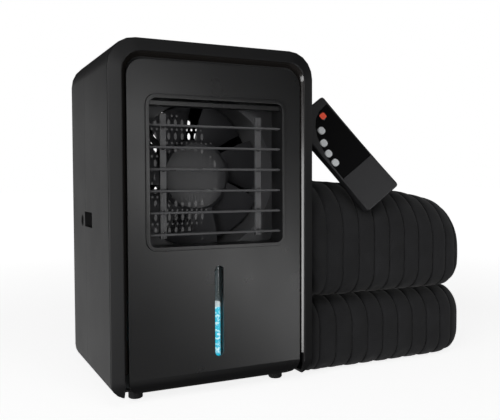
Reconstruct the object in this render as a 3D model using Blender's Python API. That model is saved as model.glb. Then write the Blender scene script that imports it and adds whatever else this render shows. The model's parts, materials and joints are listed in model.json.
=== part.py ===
"""Bed cooling set: a tower cooling unit, its folded channelled pad and its remote control.

Lengths are metres and +Z is up. The unit is laid out with X to its right, Y from the
crest of its front rim to its back, and Z from the floor. The whole set hangs from one
empty, which brings the bottom centre of its box to the origin.
"""
import math

import bmesh
import bpy
from mathutils import Matrix, Vector

# Fits and cuts shared by every piece
FIT_GAP = 0.0003
RUN_GAP = 0.0004
CUT_OVERRUN = 0.002
SHARP_ANGLE = math.radians(32)
CORNER_STEPS = 5
SMALL_STEPS = 3
RING_SIDES = 44
ROUND_SIDES = 18
PIN_SIDES = 8
HOSE_STEPS = 2

# Casing of the unit
UNIT_WIDTH = 0.207
UNIT_HEIGHT = 0.330
UNIT_DEPTH = 0.176
FOOT_HEIGHT = 0.008
TOP_RADIUS = 0.026
BOTTOM_RADIUS = 0.016
BACK_RADIUS = 0.010
SHELL_WALL = 0.0025
SEAM_DEPTH = 0.102
SEAM_LAP = 0.007
SEAM_TONGUE = 0.002

# Raised rim round the front
RIM_BAND = 0.0124
RIM_SLOPE = 0.0055
RIM_RETURN = 0.012
RIM_DRAFT = 0.0005
RIM_EDGE_ROUND = 0.0018
RIM_CREST_ROUND = 0.0012
RIM_INNER_RADIUS = 0.018
RIM_FLANGE = 0.008

# Front panel, held back from the rim by a reveal
PANEL_SETBACK = 0.0025
PANEL_WALL = 0.0025
REVEAL_SIDE = 0.0038
REVEAL_TOP = 0.0066
PANEL_CORNER = 0.015
PANEL_FOOT_CORNER = 0.014
PANEL_UNDER_RADIUS = 0.016
PANEL_TAIL = 0.024

# Air outlet in the panel
OUTLET_SIDE_SPACE = 0.0365
OUTLET_HALF = UNIT_WIDTH / 2 - OUTLET_SIDE_SPACE
OUTLET_DROP = 0.120
OUTLET_CENTRE_Z = UNIT_HEIGHT - OUTLET_DROP
OUTLET_RADIUS = 0.006
OUTLET_LIP = 0.0038
OUTLET_LIP_PROUD = 0.0013
OUTLET_LIP_ROUND = 0.0005
OUTLET_SLEEVE = 0.002
OUTLET_DEPTH = 0.0245
CROSSBAR_DROP = 0.0038
CROSSBAR_THICKNESS = 0.0046

# Louvres, hung on end pins and tied by two link bars
LOUVRE_COUNT = 6
LOUVRE_FOOT_MARGIN = 0.0105
LOUVRE_HEAD_MARGIN = 0.0235
LOUVRE_PITCH = (2 * OUTLET_HALF - LOUVRE_FOOT_MARGIN - LOUVRE_HEAD_MARGIN) / (LOUVRE_COUNT - 1)
LOUVRE_LOWEST_Z = OUTLET_CENTRE_Z - OUTLET_HALF + LOUVRE_FOOT_MARGIN
LOUVRE_CHORD = 0.011
LOUVRE_THICKNESS = 0.0024
LOUVRE_AXIS_DEPTH = 0.011
LOUVRE_PIN_RADIUS = 0.0014
LOUVRE_SECTION_SHARES = ((-0.5, 0.0), (-0.42, 0.34), (-0.05, 0.5), (0.5, 0.18),
                         (0.5, -0.18), (-0.05, -0.5), (-0.42, -0.34))
CRANK_REACH = 0.009
CRANK_KNOB_RADIUS = 0.0016
CRANK_NECK = 0.0014
CRANK_WIDTH = 0.002
KNOB_STEPS = 6
LINK_SIDE_SPACE = 0.018
LINK_OFFSET = OUTLET_HALF - LINK_SIDE_SPACE
LINK_WIDTH = 0.006
LINK_DEPTH = 0.003
LINK_TOP_REACH = 0.0115
LINK_BOTTOM_REACH = 0.0045

# Sight slot, tube and float
SLOT_WIDTH = 0.0089
SLOT_BOTTOM_Z = 0.037
SLOT_DROP = 0.020
SLOT_TOP_Z = OUTLET_CENTRE_Z - OUTLET_HALF - SLOT_DROP
TUBE_RADIUS = 0.0054
TUBE_WALL = 0.0012
TUBE_OVERLAP = 0.005
SPIGOT_RADIUS = 0.003
SPIGOT_BORE = 0.0015
SPIGOT_INSET = 0.0055
FLOAT_HEIGHT = 0.005
FLOAT_LEVEL_SHARE = 0.535

# Duct behind the outlet and the fan
DUCT_WALL = 0.002
DUCT_FLARE = 0.012
DUCT_HALF = OUTLET_HALF + DUCT_FLARE
DUCT_RADIUS = 0.010
SHROUD_DEPTH = 0.038
SHROUD_PLATE = 0.003
FAN_DROP = 0.002
FAN_CENTRE_Z = OUTLET_CENTRE_Z - FAN_DROP
FAN_RING_WALL = 0.002
FAN_SIDE_SPACE = 0.027
FAN_BORE = UNIT_WIDTH / 2 - FAN_SIDE_SPACE - FAN_RING_WALL
FAN_RING_END = 0.0893
BLADE_COUNT = 7
BLADE_TIP_GAP = 0.003
BLADE_TIP = FAN_BORE - BLADE_TIP_GAP
BLADE_ROWS = 3
BLADE_STEPS = 4
BLADE_THICKNESS = 0.002
BLADE_FRONT = 0.062
BLADE_BACK = 0.081
BLADE_SPAN_SHARE = 0.88
BLADE_SWEEP = math.radians(9)
BLADE_START = math.radians(95)
HUB_RADIUS = 0.032
HUB_FRONT = 0.060
HUB_BACK = 0.082
HUB_WALL = 0.0025
HUB_DOME_SHARES = ((0.0, 0.0), (0.0, 0.66), (0.07, 0.91), (0.24, 1.0))
SPINDLE_RADIUS = 0.0025
MOTOR_RADIUS = 0.026
MOTOR_MOUNT_RADIUS = 0.028
MOTOR_MOUNT = 0.003
STRUT_COUNT = 4
STRUT_WIDTH = 0.006

# Water tank
TANK_SIDE_SPACE = 0.0155
TANK_LEFT = -UNIT_WIDTH / 2 + TANK_SIDE_SPACE
PUMP_BAY = 0.0635
TANK_RIGHT = UNIT_WIDTH / 2 - PUMP_BAY
TANK_FRONT = 0.018
TANK_BACK = 0.132
TANK_DUCT_GAP = 0.007
TANK_TOP_Z = OUTLET_CENTRE_Z - DUCT_HALF - TANK_DUCT_GAP
TANK_WALL = 0.002
TANK_RADIUS = 0.008
LID_THICKNESS = 0.002
LID_LIP = 0.004
HOSE_RADIUS = 0.0045
HOSE_BORE = 0.003
STUB_RADIUS = 0.004
STUB_BORE = 0.002
STUB_LENGTH = 0.010
SUCTION_Y = 0.034
SUCTION_Z = 0.020
RETURN_DROP = 0.026
RETURN_Z = TANK_TOP_Z - RETURN_DROP

# Thermoelectric cooler on the tank lid
MODULE_SIDE = 0.040
MODULE_THICKNESS = 0.004
MODULE_CENTRE_X = -0.020
MODULE_BACK_INSET = 0.001
SINK_BASE = 0.003
SINK_HEIGHT = 0.016
SINK_WIDTH = 0.078
FIN_COUNT = 12
FIN_THICKNESS_SHARE = 0.38

# Pump beside the tank
PUMP_INSET = 0.0315
PUMP_X = UNIT_WIDTH / 2 - PUMP_INSET
PUMP_Z = 0.032
PUMP_FRONT = 0.066
VOLUTE_RADIUS = 0.020
VOLUTE_DEPTH = 0.016
VOLUTE_WALL = 0.003
PUMP_EYE_BORE = 0.0025
PUMP_STUB = 0.012
PUMP_FOOT_WIDTH = 0.030
PUMP_FOOT_INSET = 0.002
IMPELLER_RADIUS = 0.014
IMPELLER_PLATE = 0.002
VANE_COUNT = 6
VANE_HEIGHT = 0.005
VANE_THICKNESS = 0.0015
PUMP_SHAFT_RADIUS = 0.002
PUMP_SHAFT_LENGTH = 0.010
PUMP_MOTOR_LENGTH = 0.034
PUMP_MOTOR_RADIUS = 0.017
OUTLET_STUB_TOP_Z = 0.060

# Hose ports through the back
PORT_Z = 0.086
PORT_INSET = 0.0375
PORT_PITCH = 0.040
PORT_OUT_X = UNIT_WIDTH / 2 - PORT_INSET
PORT_IN_X = PORT_OUT_X - PORT_PITCH
PORT_BARREL = 0.0075
PORT_FLANGE = 0.011
PORT_FLANGE_DEPTH = 0.003
PORT_BORE = 0.0035
PORT_REACH = 0.014
PORT_TAIL = 0.012
PORT_TAIL_RADIUS = 0.005
PORT_GROOVE = 0.0015

# Intake grille in the back
INTAKE_FLARE = 0.0005
INTAKE_FOOT_SPACE = 0.047
INTAKE_RADIUS = min(FAN_BORE + INTAKE_FLARE, FAN_CENTRE_Z - PORT_Z - INTAKE_FOOT_SPACE)
INTAKE_LAP = 0.004
INTAKE_THICKNESS = 0.002
OVAL_WIDTH = 0.0050
OVAL_HEIGHT = 0.009
OVAL_PITCH_X = 0.0150
OVAL_PITCH_Z = 0.0158
OVAL_MARGIN = 0.004
OVAL_SIDES = 6

# Fill neck, pipe and cap in the top
FILL_INSET = 0.0455
FILL_X = -UNIT_WIDTH / 2 + FILL_INSET
FILL_Y = 0.062
CAP_RADIUS = 0.015
CAP_THICKNESS = 0.0032
CAP_DISH = 0.0014
CAP_RIM = 0.0025
CAP_GRIP_WIDTH = 0.004
STOPPER_DEPTH = 0.008
STOPPER_RADIUS = 0.0097
NECK_WALL = 0.0025
NECK_FLANGE = 0.003
NECK_DEPTH = 0.012
FILL_PIPE_RADIUS = 0.009
FILL_PIPE_BORE = 0.0075
FILL_SIDE_GAP = 0.0022
FILL_PIPE_INSET = 0.016
FILL_PIPE_END_X = TANK_LEFT + FILL_PIPE_INSET

# Control board on the duct
BOARD_WIDTH = 0.100
BOARD_DEPTH = 0.026
BOARD_THICKNESS = 0.0016
RELAY_INSET = 0.0087
RELAY_LENGTH = 0.0173
RELAY_WIDTH = 0.013
RELAY_HEIGHT = 0.0087
CAPACITOR_RADIUS = 0.0043
CAPACITOR_HEIGHT = 0.0173
CAPACITOR_PITCH = 0.0173
SOCKET_LENGTH = 0.0173
SOCKET_WIDTH = 0.0071
SOCKET_HEIGHT = 0.0058

# Power inlet and finger pocket in the left side
INLET_SETBACK = 0.016
INLET_Y = SEAM_DEPTH + INLET_SETBACK
INLET_RISE = 0.039
INLET_Z = TANK_TOP_Z + INLET_RISE
INLET_NOSE = 0.0056
INLET_BORE = 0.00425
INLET_BORE_DEPTH = 0.009
INLET_PIN = 0.001
INLET_PIN_DEPTH = 0.004
INLET_FLANGE = 0.0065
INLET_FLANGE_THICKNESS = 0.002
INLET_BODY = 0.013
INLET_BODY_LENGTH = 0.014
POCKET_FORE = 0.029
POCKET_AFT = 0.004
POCKET_FRONT = SEAM_DEPTH - POCKET_FORE
POCKET_BACK = SEAM_DEPTH + POCKET_AFT
POCKET_HEIGHT = 0.015
POCKET_RISE = 0.002
POCKET_CENTRE_Z = INLET_Z + POCKET_RISE
POCKET_DEPTH = 0.0075
POCKET_WALL = 0.002
POCKET_RAMP_SHARE = 0.3

# Feet
FOOT_RADIUS = 0.007
FOOT_STEM_RADIUS = 0.003
FOOT_INSET = 0.0295
FOOT_X = UNIT_WIDTH / 2 - FOOT_INSET
FOOT_FRONT_Y = 0.031
FOOT_BACK_Y = 0.146
FOOT_ROUND = 0.001

# Folded pad beside the unit: two channelled bundles, one on the other
PAD_WIDTH = 0.218
PAD_FRONT = 0.013
PAD_DEPTH = 0.195
PAD_BULGE = 0.0015
PAD_LOWER_HEIGHT = 0.0795
PAD_UPPER_HEIGHT = 0.123
PAD_FALL = 0.029
PAD_LOWER_SHOULDER = 0.030
PAD_UPPER_SHOULDER = 0.052
PAD_FOLD_RADIUS = 0.026
PAD_END_ROUND = 0.025
PAD_END_SWEEP = 0.058
PAD_END_DRAW = 0.046
PAD_INNER_END = 0.006
PAD_SQUARENESS = 2.3
PAD_CHANNELS = 11
PAD_GROOVE = 0.0032
PAD_GROOVE_SHARES = ((0.0, 1.0), (0.22, 0.18), (0.78, 0.18))
PAD_SEAM_SHARE = 0.63
PAD_END_SHARE = 0.006
PAD_SHOULDER_STEPS = 4
PAD_FOLD_STEPS = 3

# Remote control, leaned on the pad's shoulder and the unit's side
REMOTE_LENGTH = 0.125
REMOTE_END_WIDTH = 0.0454
REMOTE_WAIST = 0.0008
REMOTE_THICKNESS = 0.0145
REMOTE_SPLIT = 0.0075
REMOTE_CORNER = 0.003
REMOTE_CORNER_LEAST = 0.0009
REMOTE_EDGE_ROUND = 0.0018
REMOTE_WALL = 0.0016
REMOTE_TURN = math.radians(18.5)
REMOTE_LEAN = math.radians(10)
REMOTE_ROLL = math.radians(39.4)
REMOTE_CORNER_DROP = 0.035
REMOTE_SIDE_STEPS = 4
REMOTE_CORNER_STEPS = 2
REMOTE_EDGE_SHARES = ((1.0, 0.0), (0.33, 0.33), (0.0, 1.0))
FACEPLATE_LOW = 0.0434
FACEPLATE_HIGH = 0.1155
FACEPLATE_LEFT = 0.0027
FACEPLATE_RIGHT = 0.0425
FACEPLATE_THICKNESS = 0.0008
FACEPLATE_PROUD = 0.0002
FACEPLATE_STEPS = 8
FACEPLATE_ARCH_SHARES = (0.75, 0.9)
BUTTON_PROUD = 0.0011
BUTTON_TRAVEL = 0.0008
BUTTON_ROUND = 0.0005
BUTTON_SIDES = 12
POWER_SQUARENESS = 4.0
MODE_SQUARENESS = 2.4
POWER_SIDE = 0.0086
MODE_WIDTH = 0.0074
MODE_HEIGHT = 0.0082
POWER_X = 0.0304
POWER_Y = 0.1080
MODE_PLACES_X = (0.0190, 0.0120, 0.0084, 0.0076)
MODE_PLACES_Y = (0.0972, 0.0855, 0.0737, 0.0618)
BOARD_MARGIN = 0.0035
POST_RADIUS = 0.0016
REMOTE_BOARD_THICKNESS = 0.0012
CELL_RADIUS = 0.010
CELL_THICKNESS = 0.0032
CELL_Y = 0.026
DOOR_WIDTH = 0.028
DOOR_LENGTH = 0.040
DOOR_THICKNESS = 0.0014

MATERIALS = {
    "casing": ((0.033, 0.033, 0.035), 0.42, 0.0),
    "panel": ((0.030, 0.030, 0.031), 0.35, 0.0),
    "louvre": ((0.040, 0.040, 0.042), 0.40, 0.0),
    "fan": ((0.050, 0.050, 0.052), 0.45, 0.0),
    "duct": ((0.060, 0.060, 0.062), 0.55, 0.0),
    "metal": ((0.55, 0.55, 0.56), 0.35, 1.0),
    "board": ((0.02, 0.12, 0.05), 0.50, 0.0),
    "tank": ((0.45, 0.47, 0.48), 0.45, 0.0),
    "clear": ((0.60, 0.66, 0.68), 0.10, 0.0),
    "float": ((0.85, 0.86, 0.86), 0.35, 0.0),
    "rubber": ((0.012, 0.012, 0.012), 0.80, 0.0),
    "hose": ((0.40, 0.42, 0.43), 0.40, 0.0),
    "cooler": ((0.80, 0.79, 0.75), 0.60, 0.0),
    "fabric": ((0.012, 0.012, 0.013), 0.90, 0.0),
    "remote": ((0.038, 0.038, 0.040), 0.45, 0.0),
    "gloss": ((0.006, 0.006, 0.006), 0.12, 0.0),
    "red": ((0.55, 0.045, 0.02), 0.40, 0.0),
    "grey": ((0.46, 0.46, 0.47), 0.45, 0.0),
}


def clear_scene():
    """Remove what an open scene holds, so that the model stands alone."""
    for obj in list(bpy.data.objects):
        bpy.data.objects.remove(obj, do_unlink=True)


def material(name):
    """Return the named material, made on its first use."""
    if name in bpy.data.materials:
        return bpy.data.materials[name]
    colour, roughness, metallic = MATERIALS[name]
    made = bpy.data.materials.new(name)
    made.use_nodes = True
    shader = made.node_tree.nodes["Principled BSDF"]
    shader.inputs["Base Color"].default_value = (*colour, 1.0)
    shader.inputs["Roughness"].default_value = roughness
    shader.inputs["Metallic"].default_value = metallic
    return made


def empty(name, location, parent=None):
    """Add an empty that carries pieces."""
    holder = bpy.data.objects.new(name, None)
    holder.location = location
    holder.parent = parent
    bpy.context.scene.collection.objects.link(holder)
    return holder


def solid(name, bm, surface):
    """Turn a bmesh into an object with outward faces and its own material."""
    bmesh.ops.recalc_face_normals(bm, faces=bm.faces)
    mesh = bpy.data.meshes.new(name)
    bm.to_mesh(mesh)
    bm.free()
    mesh.materials.append(material(surface))
    mesh.shade_smooth()
    mesh.set_sharp_from_angle(angle=SHARP_ANGLE)
    obj = bpy.data.objects.new(name, mesh)
    bpy.context.scene.collection.objects.link(obj)
    return obj


def boolean(obj, tool, operation):
    """Join or cut an object with a tool, and delete the tool."""
    modifier = obj.modifiers.new(operation.lower(), "BOOLEAN")
    modifier.operation = operation
    modifier.solver = "EXACT"
    modifier.object = tool
    bpy.context.view_layer.update()
    evaluated = obj.evaluated_get(bpy.context.evaluated_depsgraph_get())
    mesh = bpy.data.meshes.new_from_object(evaluated)
    obj.modifiers.clear()
    old = obj.data
    obj.data = mesh
    bpy.data.meshes.remove(old)
    mesh.name = obj.name
    tool_mesh = tool.data
    bpy.data.objects.remove(tool, do_unlink=True)
    if tool_mesh.users == 0:
        bpy.data.meshes.remove(tool_mesh)
    return obj


def fuse(obj, bm):
    """Join a shape to an object."""
    return boolean(obj, solid("tool", bm, obj.data.materials[0].name), "UNION")


def carve(obj, bm):
    """Cut a shape out of an object."""
    return boolean(obj, solid("tool", bm, obj.data.materials[0].name), "DIFFERENCE")


def keep_inside(obj, bm):
    """Keep only what lies inside a shape."""
    return boolean(obj, solid("tool", bm, obj.data.materials[0].name), "INTERSECT")


def finish(obj, parent, origin=(0.0, 0.0, 0.0)):
    """Hang a piece from its parent, with its own origin at the point given."""
    obj.data.transform(Matrix.Translation(-Vector(origin)))
    obj.location = origin
    obj.parent = parent
    obj.data.shade_smooth()
    obj.data.set_sharp_from_angle(angle=SHARP_ANGLE)
    return obj


def rounded_path(corners, steps, closed=True):
    """Give the points of a path whose corners carry their own radius."""
    points = []
    count = len(corners)
    for index, (u, v, radius) in enumerate(corners):
        inner = closed or 0 < index < count - 1
        if radius <= 0 or not inner:
            points.append((u, v))
            continue
        here = Vector((u, v))
        before = (Vector(corners[index - 1][:2]) - here).normalized()
        after = (Vector(corners[(index + 1) % count][:2]) - here).normalized()
        half = before.angle(after) / 2
        middle = here + (before + after).normalized() * radius / math.sin(half)
        start = here + before * radius / math.tan(half) - middle
        end = here + after * radius / math.tan(half) - middle
        sweep = start.angle_signed(end)
        for step in range(steps + 1):
            turn = -sweep * step / steps
            points.append(tuple(middle + Matrix.Rotation(turn, 2) @ start))
    return points


def box_outline(low_u, high_u, low_v, high_v, low_radius, high_radius, steps):
    """Give a rectangle with rounded corners, from its lower left, anticlockwise."""
    corners = ((low_u, low_v, low_radius), (high_u, low_v, low_radius),
               (high_u, high_v, high_radius), (low_u, high_v, high_radius))
    return rounded_path(corners, steps)


def loft(bm, rings, closed=False):
    """Skin rings of equal count; open lofts are capped at both ends."""
    rows = [[bm.verts.new(point) for point in ring] for ring in rings]
    count = len(rows[0])
    pairs = list(zip(rows, rows[1:]))
    if closed:
        pairs.append((rows[-1], rows[0]))
    for near, far in pairs:
        for index in range(count):
            following = (index + 1) % count
            bm.faces.new((near[index], near[following], far[following], far[index]))
    if not closed:
        bm.faces.new(rows[0])
        bm.faces.new(rows[-1])
    return bm


def on_axis(axis, along, u, v):
    """Place a point by its distance along an axis and its place across it."""
    if axis == "X":
        return (along, u, v)
    if axis == "Y":
        return (u, along, v)
    return (u, v, along)


def prism(outline, axis, start, end, bm=None):
    """Extrude a flat outline along an axis."""
    bm = bm or bmesh.new()
    rings = [[on_axis(axis, along, u, v) for u, v in outline] for along in (start, end)]
    return loft(bm, rings)


def block(low, high, bm=None):
    """Give a box between two corners."""
    outline = ((low[0], low[1]), (high[0], low[1]), (high[0], high[1]), (low[0], high[1]))
    return prism(outline, "Z", low[2], high[2], bm)


def circle(centre, radius, sides):
    """Give points round a circle in a plane."""
    return [(centre[0] + radius * math.cos(math.tau * index / sides),
             centre[1] + radius * math.sin(math.tau * index / sides))
            for index in range(sides)]


def rod(axis, centre, radius, start, end, sides=ROUND_SIDES, bm=None):
    """Give a round bar along an axis, with its centre across that axis."""
    return prism(circle(centre, radius, sides), axis, start, end, bm)


def turned(profile, axis, centre, sides, closed):
    """Turn a profile of (along, radius) points about an axis.

    A closed profile makes a ring; an open one starts and ends on the axis.
    """
    bm = bmesh.new()
    if closed:
        rings = [[on_axis(axis, along, u, v) for u, v in circle(centre, radius, sides)]
                 for along, radius in profile]
        return loft(bm, rings, closed=True)
    middle = profile[1:-1]
    rows = [[bm.verts.new(on_axis(axis, along, u, v)) for u, v in circle(centre, radius, sides)]
            for along, radius in middle]
    for near, far in zip(rows, rows[1:]):
        for index in range(sides):
            following = (index + 1) % sides
            bm.faces.new((near[index], near[following], far[following], far[index]))
    for row, (along, _) in ((rows[0], profile[0]), (rows[-1], profile[-1])):
        pole = bm.verts.new(on_axis(axis, along, *centre))
        for index in range(sides):
            bm.faces.new((pole, row[index], row[(index + 1) % sides]))
    return bm


def smooth_route(points, steps):
    """Run a smooth curve through a route's own points."""
    knots = [Vector(point) for point in points]
    knots = [2 * knots[0] - knots[1]] + knots + [2 * knots[-1] - knots[-2]]
    route = []
    for before, start, end, after in zip(knots, knots[1:], knots[2:], knots[3:]):
        for step in range(steps):
            t = step / steps
            route.append(0.5 * (2 * start + (end - before) * t
                                + (2 * before - 5 * start + 4 * end - after) * t ** 2
                                + (3 * start - before - 3 * end + after) * t ** 3))
    route.append(knots[-2])
    return route


def hose(points, radius, bore):
    """Give a pipe with its bore, swept along a smooth route."""
    route = smooth_route(points, HOSE_STEPS)
    tangents = [(after - before).normalized()
                for before, after in zip([route[0]] + route[:-1], route[1:] + [route[-1]])]
    tangents[0] = (Vector(points[1]) - Vector(points[0])).normalized()
    tangents[-1] = (Vector(points[-1]) - Vector(points[-2])).normalized()
    side = tangents[0].orthogonal().normalized()
    outer = []
    inner = []
    for place, tangent in zip(route, tangents):
        side = (side - tangent * side.dot(tangent)).normalized()
        across = tangent.cross(side)
        rays = [side * u + across * v for u, v in circle((0, 0), 1, PIN_SIDES)]
        outer.append([place + ray * radius for ray in rays])
        inner.append([place + ray * bore for ray in rays])
    return loft(bmesh.new(), outer + inner[::-1], closed=True)


def casing_ring(inset, depth, top_radius, bottom_radius):
    """Give the casing's rounded outline, drawn in by an inset, at a depth."""
    half = UNIT_WIDTH / 2 - inset
    outline = box_outline(-half, half, FOOT_HEIGHT + inset, UNIT_HEIGHT - inset,
                          bottom_radius, top_radius, CORNER_STEPS)
    return [on_axis("Y", depth, u, v) for u, v in outline]


def rim_radius(inset):
    """Give the top corner's radius between the casing's side and the rim's crest."""
    return max(TOP_RADIUS - inset, RIM_INNER_RADIUS)


def low_radius(inset):
    """Give the bottom corner's radius at an inset, never sharper than the crest's round."""
    return max(BOTTOM_RADIUS - inset, RIM_CREST_ROUND)


def front_housing(parent):
    """Front casing: side, top and floor walls with the raised rim round the front."""
    band_back = RIM_SLOPE * SHELL_WALL / RIM_BAND
    corners = ((0, SEAM_DEPTH, 0), (0, RIM_SLOPE, RIM_EDGE_ROUND), (RIM_BAND, 0, RIM_CREST_ROUND),
               (RIM_BAND + RIM_DRAFT, RIM_RETURN, 0), (RIM_BAND + RIM_FLANGE, RIM_RETURN, 0),
               (RIM_BAND + RIM_FLANGE, RIM_RETURN + SHELL_WALL, 0),
               (RIM_BAND + RIM_DRAFT - SHELL_WALL, RIM_RETURN + SHELL_WALL, 0),
               (RIM_BAND - SHELL_WALL, band_back + SHELL_WALL, 0),
               (SHELL_WALL, RIM_SLOPE + SHELL_WALL - band_back, 0), (SHELL_WALL, SEAM_DEPTH, 0))
    profile = rounded_path(corners, SMALL_STEPS)
    rings = [casing_ring(inset, depth, rim_radius(inset), low_radius(inset))
             for inset, depth in profile]
    obj = solid("front_housing", loft(bmesh.new(), rings, closed=True), "casing")
    bay = UNIT_WIDTH / 2 - RIM_BAND
    carve(obj, block((-bay, -CUT_OVERRUN, 0),
                     (bay, PANEL_TAIL + FIT_GAP, FOOT_HEIGHT + RIM_BAND + RIM_FLANGE + CUT_OVERRUN)))
    carve(obj, rod("Z", (FILL_X, FILL_Y), CAP_RADIUS + FIT_GAP, UNIT_HEIGHT - SHELL_WALL - CUT_OVERRUN,
                   UNIT_HEIGHT + CUT_OVERRUN))
    carve(obj, block((-UNIT_WIDTH / 2 - CUT_OVERRUN, POCKET_FRONT, POCKET_CENTRE_Z - POCKET_HEIGHT / 2),
                     (-UNIT_WIDTH / 2 + SHELL_WALL + CUT_OVERRUN, SEAM_DEPTH + CUT_OVERRUN,
                      POCKET_CENTRE_Z + POCKET_HEIGHT / 2)))
    for side in (-1, 1):
        carve(obj, rod("Z", (side * FOOT_X, FOOT_FRONT_Y), FOOT_STEM_RADIUS + FIT_GAP,
                       FOOT_HEIGHT - CUT_OVERRUN, FOOT_HEIGHT + SHELL_WALL + CUT_OVERRUN, PIN_SIDES))
    return finish(obj, parent)


def pocket_cavity():
    """Give the finger pocket's hollow: square at the seam, ramped towards the front."""
    outside = -UNIT_WIDTH / 2 - CUT_OVERRUN
    lip = -UNIT_WIDTH / 2 + SHELL_WALL + FIT_GAP
    floor = -UNIT_WIDTH / 2 + POCKET_DEPTH
    ramp = POCKET_FRONT + (POCKET_BACK - POCKET_FRONT) * POCKET_RAMP_SHARE
    outline = ((outside, POCKET_FRONT), (lip, POCKET_FRONT), (floor, ramp),
               (floor, POCKET_BACK), (outside, POCKET_BACK))
    half = POCKET_HEIGHT / 2
    return prism(outline, "Z", POCKET_CENTRE_Z - half, POCKET_CENTRE_Z + half)


def rear_cover(parent):
    """Rear casing: a deep cup with a lap inside the seam, the intake opening and the ports' holes."""
    front = SEAM_DEPTH + FIT_GAP
    lap_out = SHELL_WALL + FIT_GAP
    lap_in = lap_out + SEAM_TONGUE
    lap_end = front + SEAM_LAP
    corners = ((BACK_RADIUS, UNIT_DEPTH, 0), (0, UNIT_DEPTH, BACK_RADIUS), (0, front, 0),
               (lap_out, front, 0), (lap_out, front - SEAM_LAP, 0), (lap_in, front - SEAM_LAP, 0),
               (lap_in, lap_end, 0),
               (SHELL_WALL, lap_end + SEAM_TONGUE, 0),
               (SHELL_WALL, UNIT_DEPTH - SHELL_WALL, BACK_RADIUS - SHELL_WALL),
               (BACK_RADIUS, UNIT_DEPTH - SHELL_WALL, 0))
    profile = rounded_path(corners, SMALL_STEPS + 1, closed=False)[1:-1]
    rings = [casing_ring(inset, depth, TOP_RADIUS - inset, low_radius(inset)) for inset, depth in profile]
    obj = solid("rear_cover", loft(bmesh.new(), rings), "casing")
    pocket_side = -UNIT_WIDTH / 2 + lap_out + FIT_GAP
    half = POCKET_HEIGHT / 2 + POCKET_WALL
    fuse(obj, block((pocket_side, POCKET_FRONT - POCKET_WALL, POCKET_CENTRE_Z - half),
                    (-UNIT_WIDTH / 2 + POCKET_DEPTH + POCKET_WALL, POCKET_BACK + POCKET_WALL,
                     POCKET_CENTRE_Z + half)))
    carve(obj, pocket_cavity())
    wall = UNIT_DEPTH - SHELL_WALL - CUT_OVERRUN
    carve(obj, rod("Y", (0, FAN_CENTRE_Z), INTAKE_RADIUS, wall, UNIT_DEPTH + CUT_OVERRUN, RING_SIDES))
    for port_x in (PORT_OUT_X, PORT_IN_X):
        carve(obj, rod("Y", (port_x, PORT_Z), PORT_BARREL + FIT_GAP, wall, UNIT_DEPTH + CUT_OVERRUN))
    carve(obj, rod("X", (INLET_Y, INLET_Z), INLET_NOSE + FIT_GAP, -UNIT_WIDTH / 2 - CUT_OVERRUN,
                   -UNIT_WIDTH / 2 + SHELL_WALL + CUT_OVERRUN))
    for side in (-1, 1):
        carve(obj, rod("Z", (side * FOOT_X, FOOT_BACK_Y), FOOT_STEM_RADIUS + FIT_GAP,
                       FOOT_HEIGHT - CUT_OVERRUN, FOOT_HEIGHT + SHELL_WALL + CUT_OVERRUN, PIN_SIDES))
    return finish(obj, parent)


def outlet_outline(half, radius):
    """Give a rounded square about the air outlet's centre."""
    return box_outline(-half, half, OUTLET_CENTRE_Z - half, OUTLET_CENTRE_Z + half, radius, radius,
                       SMALL_STEPS + 1)


def slot_outline(half):
    """Give the sight slot's outline: straight sides with round ends."""
    return box_outline(-half, half, SLOT_BOTTOM_Z, SLOT_TOP_Z, half, half, SMALL_STEPS + 1)


def front_panel(parent):
    """Front panel: a flat face that turns back under the unit, with the outlet and the slot."""
    half = UNIT_WIDTH / 2 - RIM_BAND - REVEAL_SIDE
    top = UNIT_HEIGHT - RIM_BAND - REVEAL_TOP
    inner = PANEL_SETBACK + PANEL_WALL
    tail_top = FOOT_HEIGHT + PANEL_WALL
    corners = ((PANEL_SETBACK, top + CUT_OVERRUN, 0), (PANEL_SETBACK, FOOT_HEIGHT, PANEL_UNDER_RADIUS),
               (PANEL_TAIL, FOOT_HEIGHT, 0), (PANEL_TAIL, tail_top, 0),
               (inner, tail_top, PANEL_UNDER_RADIUS - PANEL_WALL), (inner, top + CUT_OVERRUN, 0))
    profile = rounded_path(corners, CORNER_STEPS)
    obj = solid("front_panel", prism(profile, "X", -half - CUT_OVERRUN, half + CUT_OVERRUN), "panel")
    face = box_outline(-half, half, FOOT_HEIGHT, top, PANEL_FOOT_CORNER, PANEL_CORNER, CORNER_STEPS)
    keep_inside(obj, prism(face, "Y", PANEL_SETBACK - CUT_OVERRUN, PANEL_TAIL + CUT_OVERRUN))
    sleeve = OUTLET_HALF + OUTLET_SLEEVE + FIT_GAP
    carve(obj, prism(outlet_outline(sleeve, OUTLET_RADIUS + OUTLET_SLEEVE + FIT_GAP), "Y",
                     PANEL_SETBACK - CUT_OVERRUN, inner + CUT_OVERRUN))
    carve(obj, prism(slot_outline(SLOT_WIDTH / 2), "Y", PANEL_SETBACK - CUT_OVERRUN, inner + CUT_OVERRUN))
    return finish(obj, parent)


def louvre_heights():
    """Give the pivot heights of the louvres, lowest first."""
    return [LOUVRE_LOWEST_Z + LOUVRE_PITCH * index for index in range(LOUVRE_COUNT)]


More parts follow.
